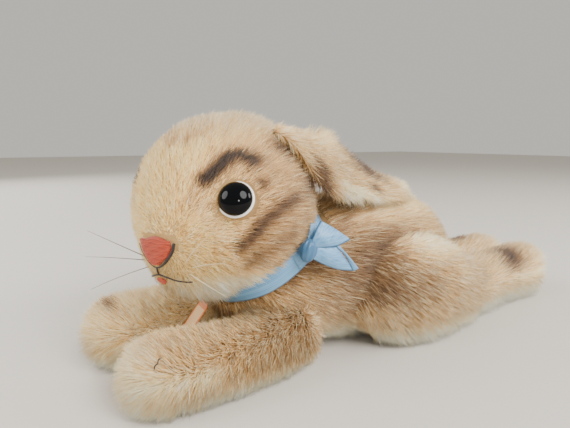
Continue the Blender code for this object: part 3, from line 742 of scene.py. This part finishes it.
def make_head():
    """A bare place under each eye and the nose; the pile runs away from the nose, longer at the back."""
    rng = np.random.default_rng(1)
    grid = head_grid(1.2 * MM)
    skin = skin_of("head_skin", grid, head_colour)
    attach(skin, "head")
    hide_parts("head_cover", "head_stuffing")
    roots, normals, _, _ = sow(grid, int(STRANDS_ON["head"] * STRAND_SHARE), rng)
    azimuth, lift = face_angles(roots)
    nose = head_point(math.radians(2), math.radians(-20))
    clear = ((roots - NECK) @ NECK_AXIS) > 1.4 * MM  # clear stays True where pile grows
    for way in (1, -1):
        centre, facing = eye_seat(way)
        out = roots - centre
        flat = out - facing * (out @ facing)[:, None]
        clear &= (np.linalg.norm(flat, axis=1) > EYE_BARE) | (out @ facing < -6 * MM)
    clear &= ~((np.abs(azimuth - NOSE_AZIMUTH) < 13.5 * smooth(-30, -19, lift)) & (lift < -13) & (lift > -29))
    away = unit(roots - nose)
    away = away + np.array((0, 0.1, -0.25)) * smooth(60, 100, np.abs(azimuth))[:, None]
    chin = smooth(-33, -44, lift) * smooth(50, 30, np.abs(azimuth))
    crown = smooth(42, 62, lift)
    length = (3.2 + 1.8 * smooth(20, 75, np.abs(azimuth)) + 2.6 * chin + 0.8 * crown) * MM
    near_eye = np.minimum(*[np.linalg.norm(roots - eye_seat(w)[0], axis=1) for w in (1, -1)])
    length *= 0.55 + 0.45 * smooth(8.5 * MM, 14 * MM, near_eye)
    near_nose = np.linalg.norm(roots - nose, axis=1)
    length *= 0.55 + 0.45 * smooth(7 * MM, 16 * MM, near_nose)
    rise = 0.52 + 0.16 * smooth(40, 100, np.abs(azimuth))
    colour = head_colour(roots)
    frost = (0.12 + 0.3 * crown + 0.5 * chin)[clear]
    pile("head_pile", "head", *keep(clear, roots, normals, away, length, rise, colour), rng,
         width=0.27 * MM, frost=frost)


def away_from_collar(points):
    """False where the neck ribbon and the head cover the body."""
    height = (points - NECK) @ NECK_AXIS
    out = points - NECK - height[:, None] * NECK_AXIS
    return (height < -10.8 * MM) | (np.linalg.norm(out, axis=1) > 32.5 * MM)


def make_torso():
    rng = np.random.default_rng(2)
    grid = torso_grid()
    skin = skin_of("body_skin", grid, torso_colour)
    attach(skin, "body")
    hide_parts("body_cover", "body_stuffing")
    roots, normals, _, _ = sow(grid, int(STRANDS_ON["body"] * STRAND_SHARE), rng)
    clear = away_from_collar(roots) & (roots[:, 2] > 1.3 * MM)
    for stations in (FRONT_LEG_LEFT, FRONT_LEG_RIGHT, HIND_LEG, mirrored(HIND_LEG)):
        clear &= depth_in(roots, stations) < 0.3
    comb = np.tile((0, 1.0, -0.35), (len(roots), 1))
    length = (6.2 + 1.8 * bell(roots[:, 1] / MM, -20, 14)) * MM
    rise = np.full(len(roots), 0.50)
    colour = torso_colour(roots)
    pile("body_pile", "body", *keep(clear, roots, normals, comb, length, rise, colour), rng,
         width=0.32 * MM, frost=0.22)


def mirrored(stations):
    return [(-row[0], *row[1:]) for row in stations]


def make_leg(name, stations, count, colour_of, lay_of, seed):
    """A leg's skin and its pile, which lay_of combs, measures and lifts."""
    rng = np.random.default_rng(seed)
    grid = stuffed(stations, 80, 64)
    skin = skin_of(name + "_skin", grid, colour_of)
    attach(skin, "body")
    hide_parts(name + "_cover", name + "_stuffing")
    roots, normals, _, _ = sow(grid, int(count * STRAND_SHARE), rng)
    clear = (depth_in(roots, TORSO) < 0.03) & (roots[:, 2] > 1.3 * MM)
    comb, length, rise = lay_of(roots, toe=stations[-1][1])
    colour = colour_of(roots)
    pile(name + "_pile", "body", *keep(clear, roots, normals, comb, length, rise, colour), rng,
         width=0.34 * MM, clump=0.5, cell=2.8 * MM, frost=0.4)


def front_lay(roots, toe):
    """Ahead and a little down; near the paw longer, steeper and parted at the side seam."""
    y, z = roots[:, 1] / MM, roots[:, 2] / MM
    tip = smooth(-104, -126, y)
    parted = smooth(-92, -110, y)
    sign = -0.3 * (1 - parted) + np.tanh((z - 15) / 7) * parted
    comb = np.stack([0 * y, -0.45 - 0.5 * tip, sign * (0.75 + 0.5 * tip)], -1)
    length = (6 + 1.6 * smooth(toe + 22, toe, y) + 1.2 * smooth(9, 3, z)) * MM
    return comb, length, 0.74 + 0.2 * smooth(toe + 26, toe, y)


def hind_lay(roots, toe):
    """Back and down over the haunch, then along the foot and away from its seam, longest beneath."""
    y, z = roots[:, 1] / MM, roots[:, 2] / MM
    foot = smooth(45, 80, y)
    sign = np.tanh((z - 16) / 4)
    comb = np.stack([0 * y, 0.8 + 0.2 * foot, -0.6 * (1 - foot) + 0.7 * foot * sign], -1)
    length = (5.8 + 1.4 * smooth(toe - 33, toe - 3, y) + 2.2 * smooth(13, 5, z)) * MM
    rise = 0.38 + 0.2 * smooth(-10, 12, y) + 0.25 * smooth(toe - 43, toe - 8, y) + 0.2 * smooth(14, 6, z)
    return comb, length, rise


def make_limbs():
    front, hind = STRANDS_ON["front leg"], STRANDS_ON["hind leg"]
    make_leg("front_leg_left", FRONT_LEG_LEFT, front, front_colour, front_lay, 3)
    make_leg("front_leg_right", FRONT_LEG_RIGHT, front, front_colour, front_lay, 4)
    make_leg("hind_leg_left", HIND_LEG, hind, hind_colour, hind_lay, 5)
    make_leg("hind_leg_right", mirrored(HIND_LEG), hind, hind_colour, hind_lay, 6)


def make_tail():
    rng = np.random.default_rng(7)
    grid = stuffed(TAIL, 24, 28, ends=(0.5, 0.5), inset=1 * MM)
    skin = skin_of("tail_skin", grid, tail_colour)
    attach(skin, "body")
    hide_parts("tail")
    roots, normals, _, _ = sow(grid, int(STRANDS_ON["tail"] * STRAND_SHARE), rng)
    count = len(roots)
    comb = np.tile((0, 0.6, 0.8), (count, 1))
    length, rise = np.full(count, 5 * MM), np.full(count, 0.8)
    pile("tail_pile", "body", roots, normals, comb, length, rise, tail_colour(roots), rng)


def make_ears():
    """Leaves whose pile runs to the tip and, at the edge, outwards."""
    for side, rows, seed in (("left", np.array(LEFT_EAR), 8), ("right", other_ear(LEFT_EAR), 9)):
        colour_of = ear_colour if side == "left" else other_ear_colour
        rng = np.random.default_rng(seed)
        grid = ear_grid(rows)
        body = "ear_" + side
        skin = skin_of(body + "_skin", grid, colour_of)
        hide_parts(body + "_back", body + "_lining")
        roots, normals, ring, turn = sow(grid, int(STRANDS_ON["ear"] * STRAND_SHARE), rng)
        centre = along(rows[:, :3], np.clip(ring / (EAR_RINGS - 1), 0, 1)) * MM
        ahead = unit(np.gradient(along(rows[:, :3], np.linspace(0, 1, EAR_RINGS)), axis=0))
        ahead = ahead[np.clip(ring.astype(int), 0, EAR_RINGS - 1)]
        edge = np.abs(np.cos(turn / EAR_SIDES * 2 * np.pi)) ** 6
        comb = ahead + unit(roots - centre) * (0.25 + 0.9 * edge)[:, None]
        length = (4.4 + 2.6 * edge) * MM
        rise = 0.5 + 0.3 * edge
        made = pile(body + "_pile", None, roots, normals, comb, length, rise, colour_of(roots), rng,
                    width=0.28 * MM, frost=0.35)
        for item in [skin, *made]:
            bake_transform(item)


# ---------------------------------------------------------------- face
def eye_seat(way):
    """The middle of an eye's back and the way it looks, with the head at rest."""
    centre = head_point(EYE_AZIMUTH[way], np.array(EYE_LIFT), -EYE_SINK)
    look = face_direction(np.array(EYE_LOOK * way), np.array(EYE_LOOK_LIFT))
    return centre, about(look, NECK_AXIS, HEAD_TURN)


def lathe(name, origin, axis, profile, material, sides=64):
    """A round piece: origin + axis h + r (side cos a + lift sin a) for each (r, h) in millimetres."""
    side = unit(np.cross(axis, (0.31, 0.52, 0.79)))
    lift = np.cross(axis, side)
    turn = around(sides)
    profile = np.array(profile, float) * MM
    grid = origin + profile[1:-1, 1, None, None] * axis
    grid = grid + profile[1:-1, 0, None, None] * (side * np.cos(turn) + lift * np.sin(turn))
    poles = [origin + profile[end, 1] * axis for end in (0, -1)]
    return closed_form(name, grid, material, poles)


def make_eyes():
    """A black glass dome 12.4 mm across in a bead of white glass; profiles are (radius, height) in mm."""
    glass = node_material("black_glass", (3, 4, 6), 0.02)
    glass.node_tree.nodes["Principled BSDF"].inputs["Specular IOR Level"].default_value = 0.15
    white = node_material("white_glass", (238, 236, 230), 0.22, coat_weight=0.5)
    for side, way in (("left", 1), ("right", -1)):
        centre, facing = eye_seat(way)
        a = np.linspace(0, math.pi / 2, 20)
        bulge = [(6.2 * math.cos(t), 2.4 + 4 * math.sin(t)) for t in a[1:-1]]
        dome = [(0, 1.2), (6.2, 1.2), (6.2, 2.4), *bulge, (0, 6.4)]
        item = lathe("eye_glass_" + side, centre, facing, dome, glass)
        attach(item, "head")
        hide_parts("eye_dome_" + side)
        bead = np.linspace(-0.5 * math.pi, math.pi, 12)
        round_edge = [(6.2 + 0.65 * math.cos(t), 1.3 + 0.75 * math.sin(t)) for t in bead]
        ring = [(0, 0.2), (5.6, 0.2), *round_edge, (0, 1.3)]
        item = lathe("eye_ring_" + side, centre, facing, ring, white)
        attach(item, "head")
        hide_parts("eye_rim_" + side)


def thread_material(name, colour, roughness=0.55):
    """Twisted thread: a fine bump over its colour."""
    made = node_material(name, colour, roughness, sheen_weight=0.08)
    roughened(made.node_tree, 0.4, 0.0002, scale=2600)
    return made


def make_nose(coral, deep, black):
    """Rows of satin stitch over a pad, narrower towards the lip, and a black line round their foot."""
    rng = np.random.default_rng(10)
    rows = []
    count = 20
    for k in range(count):
        t = (k + 0.5) / count
        lift = -13.6 - 13.0 * t
        half = 12.0 * math.sqrt(max(0.0, 1 - max(0.0, (t - 0.12) / 0.9) ** 1.5))
        place = np.linspace(-1, 1, 13)
        azimuth = NOSE_AZIMUTH + half * place
        wave = 0.35 * np.sin(place * 7 + k * 0.9) - 1.4 * place**2 * (1 - t)
        proud = (1.25 * (1 - 0.55 * np.abs(place) ** 4) + 0.1 * rng.random()) * MM
        path = head_point(np.radians(azimuth), np.radians(lift + wave), proud)
        rows.append(tube(f"row_{k}", path, 0.33 * MM, coral if k % 3 else deep, sides=6))
    turn = around(24).ravel()
    azimuth = NOSE_AZIMUTH + np.array([0, *(11 * np.cos(turn))])
    lift = -19.6 + np.array([0, *(6.2 * np.sin(turn))])
    top = head_point(np.radians(azimuth), np.radians(lift), 0.7 * MM)
    under = head_point(np.radians(azimuth), np.radians(lift), -1.0 * MM)
    faces = []
    for k in range(24):
        n = (k + 1) % 24
        faces += [(0, 1 + k, 1 + n), (25, 26 + n, 26 + k), (1 + k, 26 + k, 26 + n, 1 + n)]
    rows.append(mesh_object("pad", np.vstack([top, under]), faces, deep))
    nose = merged("nose_satin_stitch", rows)
    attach(nose, "head")
    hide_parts("nose_stitching")
    outline = [
        (-12.4, -17.5), (-10.6, -21), (-5, -26.2), (1.6, -28.6), (8, -26.2), (13.8, -20.6), (15.6, -16),
    ]
    widths = 0.14 + 0.42 * smooth(0.3, 0.8, np.linspace(0, 1, 40))
    item = tube("nose_border", head_path(outline, 40, 0.75 * MM), widths * MM, black)
    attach(item, "head")
    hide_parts("nose_outline")


def make_mouth(coral, black):
    """A short line under the nose, the smile's line, and a lip of satin stitch below them."""
    middle = head_path([(1.4, -28.6), (1, -30.5), (0.6, -33)], 12, 0.6 * MM)
    item = tube("mouth_middle", middle, 0.34 * MM, black)
    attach(item, "head")
    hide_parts("mouth_stitch_middle")
    smile = [(-18, -39), (-13, -37), (-7, -35), (0.6, -33), (6, -34.2), (12, -36.8), (17, -38.2), (21, -38.8)]
    item = tube("mouth_line", head_path(smile, 50, 0.55 * MM), 0.32 * MM, black)
    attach(item, "head")
    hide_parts("mouth_stitch")
    lips = []
    for k in range(5):
        lift = -35.4 - 0.85 * k
        half = (2.2, 3.4, 3.6, 2.8, 1.6)[k]
        azimuth = np.radians(np.linspace(-half, half, 7) + 0.2)
        path = head_point(azimuth, np.full(7, math.radians(lift)), 0.7 * MM)
        lips.append(tube(f"lip_{k}", path, 0.36 * MM, coral, sides=6))
    lip = merged("lip_satin_stitch", lips)
    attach(lip, "head")
    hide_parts("lip_stitch")


# Whiskers of each side: azimuth and lift of the root in degrees, and how much each points up
WHISKERS = {
    1: [(20, -27, 0.3), (23, -30.5, 0.05), (20, -34, -0.2)],
    -1: [(-20, -27, 0.6), (-23, -30.5, 0.25), (-20, -34, -0.1)],
}
WHISKER_LENGTH = 30 * MM


def make_whiskers():
    """Bristles: root + way t L + a droop of t^2, thinner towards the tip."""
    pale = node_material("whisker_pale", (226, 208, 170), 0.4)
    # The right side's whiskers are painted dark, as a shaded copy of the pale left ones.
    dark = node_material("whisker_painted_shade", (96, 82, 68), 0.4)
    for side, way in (("left", 1), ("right", -1)):
        for k, (azimuth, lift, rise) in enumerate(WHISKERS[way]):
            out = face_direction(np.radians(azimuth), np.radians(lift))
            root = HEAD_CENTRE + out * (head_radius(out) - 0.5 * MM)
            t = np.linspace(0, 1, 24)[:, None]
            line = root + unit(np.array((0.83 * way, -0.42, rise))) * t * WHISKER_LENGTH
            line = turned_head(line + np.array((0, 3, -1.5)) * t * t * MM)
            radius = (0.2 - 0.14 * np.linspace(0, 1, 24)) * MM
            item = tube(f"whisker_hair_{side}_{k + 1}", line, radius, pale if way > 0 else dark, sides=6)
            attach(item, "head")
            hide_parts(f"whisker_{side}_{k + 1}")


# Roots of the short stitches on the front paws, in millimetres
CLAW_ROOTS = [(35.5, -119, 24.0), (34.2, -117.4, 25.2), (-30.5, -129, 25.5), (-28.6, -127.4, 26.6)]


def make_claws(black):
    """Short threads bowed outwards by a sine."""
    threads = []
    for x, y, z in CLAW_ROOTS:
        line = np.array((x, y, z)) * MM + np.linspace(0, 1, 8)[:, None] * np.array((0.4, -1.5, -1.4)) * MM
        bow = np.sin(np.linspace(0, np.pi, 8))[:, None] * np.array((0.2, -0.4, 0.6)) * MM
        threads.append(tube(f"claw_{x}", line + bow, 0.22 * MM, black, sides=6))
    claws = merged("claw_stitches", threads)
    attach(claws, "body")


def make_face():
    coral = thread_material("coral_thread", (176, 62, 28))
    deep = thread_material("coral_thread_deep", (156, 52, 28))
    black = thread_material("black_thread", (38, 28, 24), 0.7)
    make_nose(coral, deep, black)
    make_mouth(coral, black)
    make_whiskers()
    make_claws(black)


# ---------------------------------------------------------------- ribbon, tag
CARD_BORDER = (206, 118, 62)
CARD_MIDDLE = (214, 172, 122)
CARD_LEAN = math.radians(40)
# Ends of the bow: name, its node, then its two long sides in millimetres and its bulge
BOW_ENDS = [
    ("bow_end_upper", "bow_loop_upper",
     [(36, -57, 59.4), (36.8, -56, 62.4), (36.4, -54.2, 65.6), (35.4, -51.6, 68.2)],
     [(37.4, -56.4, 58.2), (38.2, -50, 57.6), (37.6, -43.8, 57.4), (36.6, -36.9, 58.8)],
     2.2, (0.9, 0.1, 0.4)),
    ("bow_end_lower", "bow_loop_lower",
     [(37.2, -56.6, 58.2), (37.4, -51, 58.1), (36.6, -45, 57.4)],
     [(36.8, -57.6, 54), (37, -51, 50.2), (37, -43.4, 46.8), (36.8, -34.6, 44.8)],
     1.6, (1, 0, 0)),
    ("bow_end_hidden", "bow_tail_upper",
     [(33.6, -57, 60), (32.6, -55.4, 63.5), (31.6, -54, 67)],
     [(33.6, -54, 59), (32.8, -50.5, 61.5), (32, -47.5, 64.5)],
     0.6, (1, 0, 0)),
    ("bow_end_inner", "bow_tail_lower",
     [(34.6, -56, 58), (35, -50, 56), (34.6, -42, 52), (34.6, -38, 50)],
     [(34.6, -56.8, 54), (35, -51, 51.4), (34.6, -44, 47.6), (34.6, -38, 46)],
     -0.6, (1, 0, 0)),
]
# The two long sides of the flap folded over the lower end
BOW_FLAP = [
    [(36.9, -45.4, 57.6), (37.4, -40, 52.4), (37.2, -35.4, 45)],
    [(37.2, -43.6, 57.5), (38.0, -38.4, 51.8), (37.9, -33, 46)],
]


def satin_material():
    """Satin: streaks along the ribbon's UV, a fine rib across it and a darker woven edge."""
    made = node_material("blue_satin", (100, 154, 196), 0.32, sheen_weight=0.08, anisotropic=0.4)
    tree = made.node_tree
    shader = tree.nodes["Principled BSDF"]
    place = added(tree, "TexCoord")
    stretch = added(tree, "Mapping", scale=(5, 26, 1))
    noise = added(tree, "TexNoise", scale=1, detail=4)
    ramp = added(tree, "ValToRGB")
    ramp.color_ramp.elements[0].color = opaque((78, 132, 178))
    ramp.color_ramp.elements[1].color = opaque((126, 176, 212))
    ramp.color_ramp.elements[0].position = 0.34
    ramp.color_ramp.elements[1].position = 0.66
    split = added(tree, "SeparateXYZ")
    away = added(tree, "Math")
    away.operation = "SUBTRACT"
    away.inputs[1].default_value = 0.5
    far = added(tree, "Math")
    far.operation = "ABSOLUTE"
    edge = added(tree, "MapRange", from_min=0.43, from_max=0.48)
    woven = added(tree, "Mix")
    woven.data_type = "RGBA"
    woven.inputs[7].default_value = opaque((58, 104, 140))
    wave = added(tree, "TexWave", scale=60)
    wave.bands_direction = "X"
    bump = added(tree, "Bump", strength=0.15, distance=0.0001)
    joined(
        tree, (place, "UV", stretch, "Vector"), (stretch, "Vector", noise, "Vector"),
        (noise, "Fac", ramp, "Fac"), (place, "UV", split, "Vector"), (split, "Y", away, 0),
        (away, 0, far, 0), (far, 0, edge, "Value"), (edge, "Result", woven, 0),
        (ramp, "Color", woven, 6), (woven, 2, shader, "Base Color"), (place, "UV", wave, "Vector"),
        (wave, "Fac", bump, "Height"), (bump, "Normal", shader, "Normal"))
    return made


def ribbon_piece(name, grid, material, thickness=0.35 * MM):
    """An open sheet of points [u, v, xyz] given its thickness, with UV u along and v across."""
    rows, columns = grid.shape[:2]
    corner = np.arange(rows * columns).reshape(rows, columns)
    faces = np.stack([corner[:-1, :-1], corner[1:, :-1], corner[1:, 1:], corner[:-1, 1:]], -1)
    mesh = bpy.data.meshes.new(name)
    mesh.from_pydata(grid.reshape(-1, 3).tolist(), [], faces.reshape(-1, 4).tolist())
    uv = mesh.uv_layers.new(name="UVMap")
    loops = faces.ravel()
    place = np.stack([loops // columns / (rows - 1), loops % columns / (columns - 1)], -1)
    uv.data.foreach_set("uv", place.astype(np.float32).ravel())
    mesh.update()
    mesh.shade_smooth()
    mesh.materials.append(material)
    item = placed(name, mesh)
    solid = item.modifiers.new("thickness", "SOLIDIFY")
    solid.thickness = thickness
    solid.offset = 0
    return item


def fan(left, right, bulge, out=(1, 0, 0), columns=16, rows=28):
    """A ruled sheet between two curves from the knot, bulged by sin(pi u) sin(pi v)."""
    steps = np.linspace(0, 1, rows)
    a, b = along(left, steps) * MM, along(right, steps) * MM
    v = np.linspace(0, 1, columns)[None, :, None]
    grid = a[:, None] * (1 - v) + b[:, None] * v
    lift = np.sin(np.pi * v) * np.sin(np.pi * np.clip(steps * 0.9, 0, 1))[:, None, None]
    return grid + np.array(out) * bulge * MM * lift


def make_collar(satin):
    """Neck + axis h + (R + folds)(side cos a + back sin a)."""
    across = np.array((1.0, 0.0, 0.0))
    back = np.cross(NECK_AXIS, across)
    turn = np.linspace(0, 2 * np.pi, 181)[:, None, None]
    v = np.linspace(0, 1, 13)[None, :, None]
    fold = 0.35 * np.sin(3 * turn + 1.0 + 4 * v) + 0.25 * np.sin(7 * turn + 6 * v)
    radius = COLLAR_RADIUS + (0.2 + fold * 0.8 - 0.5 * (2 * v - 1) ** 2) * MM
    height = (-0.6 - 10.0 * v + 0.3 * np.sin(5 * turn)) * MM
    grid = NECK + NECK_AXIS * height + radius * (across * np.cos(turn) + back * np.sin(turn))
    collar = ribbon_piece("neck_ribbon", grid, satin)
    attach(collar, "body")
    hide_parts("ribbon_collar")


def make_knot(satin):
    """A creased ball: 3.2, 3.6 and 4.9 mm half sides, tipped back about X."""
    middle = np.array((36.0, -57.8, 56.6)) * MM
    polar = np.linspace(0, np.pi, 30)[1:-1, None]
    spin = np.linspace(0, 2 * np.pi, 48, endpoint=False)[None, :]
    crease = 1 + 0.05 * np.sin(spin * 5 + 3 * polar) + 0.05 * np.sin(spin * 9)
    form = np.stack([
        3.2 * np.sin(polar) * np.cos(spin) * crease, 3.6 * np.sin(polar) * np.sin(spin) * crease,
        4.9 * np.cos(polar) + 0 * spin,
    ], -1) * MM
    form = about(form, (1, 0, 0), math.radians(-14))
    knot = closed_form("ribbon_knot", middle + form, satin)
    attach(knot, "body")
    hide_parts("bow_knot")


def make_bow(satin):
    """Four ends from the knot; the flap is part of the lower one's cloth."""
    fold = ribbon_piece("bow_fold", fan(*BOW_FLAP, 0.5, columns=6, rows=20), satin, 0.3 * MM)
    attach(fold, "body")
    for name, node, left, right, bulge, out in BOW_ENDS:
        grid = fan(left, right, bulge, out)
        item = ribbon_piece(name, grid, satin, 0.3 * MM)
        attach(item, "body")
        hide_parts(node)


def card_material():
    """An orange border round a pale middle, from the card's own UV."""
    card = node_material("tag_card", CARD_BORDER, 0.6)
    tree = card.node_tree
    place = added(tree, "TexCoord")
    split = added(tree, "SeparateXYZ")
    both = added(tree, "Math")
    both.operation = "MULTIPLY"
    blend = added(tree, "Mix")
    blend.data_type = "RGBA"
    blend.inputs[6].default_value = opaque(CARD_BORDER)
    blend.inputs[7].default_value = opaque(CARD_MIDDLE)
    joined(tree, (place, "UV", split, "Vector"), (both, 0, blend, 0),
           (blend, 2, tree.nodes["Principled BSDF"], "Base Color"))
    for k, (axis, margin) in enumerate((("X", 0.18), ("Y", 0.11))):
        inside = added(tree, "Math")
        inside.operation = "COMPARE"
        inside.inputs[1].default_value = 0.5
        inside.inputs[2].default_value = 0.5 - margin
        joined(tree, (split, axis, inside, 0), (inside, 0, both, k))
    return card


def make_tag():
    """A card below its pin, leant CARD_LEAN ahead, its corners drawn in by 0.12 u^8 v^8."""
    lean = CARD_LEAN
    hang = np.array((0, -88.4, 29.6)) * MM
    down = np.array((0, -math.sin(lean), -math.cos(lean)))
    v, u = np.meshgrid(np.linspace(0, 1, 9), np.linspace(0, 1, 13))
    corner = 0.12 * ((2 * v - 1) ** 8) * ((2 * u - 1) ** 8)
    x = (v - 0.5) * (1 - corner) * 9.8 * MM
    drop = (0.9 + 17 * (0.5 + (u - 0.5) * (1 - corner))) * MM
    grid = hang + x[..., None] * np.array((1.0, 0, 0)) + drop[..., None] * down
    item = ribbon_piece("chest_card", grid, card_material(), 0.45 * MM)
    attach(item, "tag")
    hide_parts("chest_tag")


# ---------------------------------------------------------------- stage
# Each lamp: name, place, diameter and power in watts
LAMPS = [
    ("key", (0.80, 0.10, 0.75), 0.7, 16.0), ("front", (-0.15, -0.95, 0.60), 0.6, 8.0),
    ("window", (0.75, -0.35, 0.30), 0.10, 1.0), ("rim", (0.55, 0.95, 0.55), 0.5, 8.0),
    ("fill", (-0.95, -0.30, 0.55), 0.7, 6.0),
]
LAMPS_LOOK_AT = Vector((0, -0.02, 0.04))
CAMERA_PLACE = (0.177, -0.150, 0.100)
CAMERA_TURN = math.radians(60)
CAMERA_DIP = math.radians(9.6)
CAMERA_LENS = 27.157895


def make_floor():
    floor = mesh_object(
        "floor", [(-3, -3, 0), (3, -3, 0), (3, 3, 0), (-3, 3, 0)], [(0, 1, 2, 3)],
        node_material("floor_paint", (206, 200, 190), 0.7))


def make_lights():
    """A pale room, and soft round lamps that all look at the rabbit."""
    world = bpy.data.worlds.new("studio")
    bpy.context.scene.world = world
    world.use_nodes = True
    shade = world.node_tree.nodes["Background"]
    shade.inputs["Color"].default_value = (*linear((232, 228, 220)), 1)
    shade.inputs["Strength"].default_value = 0.78
    for name, place, size, power in LAMPS:
        lamp = bpy.data.lights.new(name, "AREA")
        lamp.shape = "DISK"
        lamp.size = size
        lamp.energy = power
        item = placed(name, lamp)
        item.location = place
        item.rotation_euler = (LAMPS_LOOK_AT - Vector(place)).to_track_quat("-Z", "Y").to_euler()


def make_camera():
    """It looks from +X and -Y, turned CAMERA_TURN from +Y towards -X and CAMERA_DIP downwards."""
    lens = bpy.data.cameras.new("camera")
    lens.sensor_width = 36
    lens.lens = CAMERA_LENS
    lens.clip_start = 0.01
    eye = placed("camera", lens)
    turn, dip = math.sin(CAMERA_TURN), math.cos(CAMERA_DIP)
    forward = Vector((-turn * dip, math.cos(CAMERA_TURN) * dip, -math.sin(CAMERA_DIP)))
    right = Vector((math.cos(CAMERA_TURN), turn, 0))
    up = right.cross(forward)
    axes = Matrix((right, up, -forward)).transposed().to_4x4()
    eye.matrix_world = Matrix.Translation(CAMERA_PLACE) @ axes
    bpy.context.scene.camera = eye


make_head()
make_torso()
make_limbs()
make_tail()
make_ears()
make_eyes()
make_face()
SATIN = satin_material()
make_collar(SATIN)
make_knot(SATIN)
make_bow(SATIN)
make_tag()
make_floor()
make_lights()
make_camera()
bpy.context.view_layer.update()
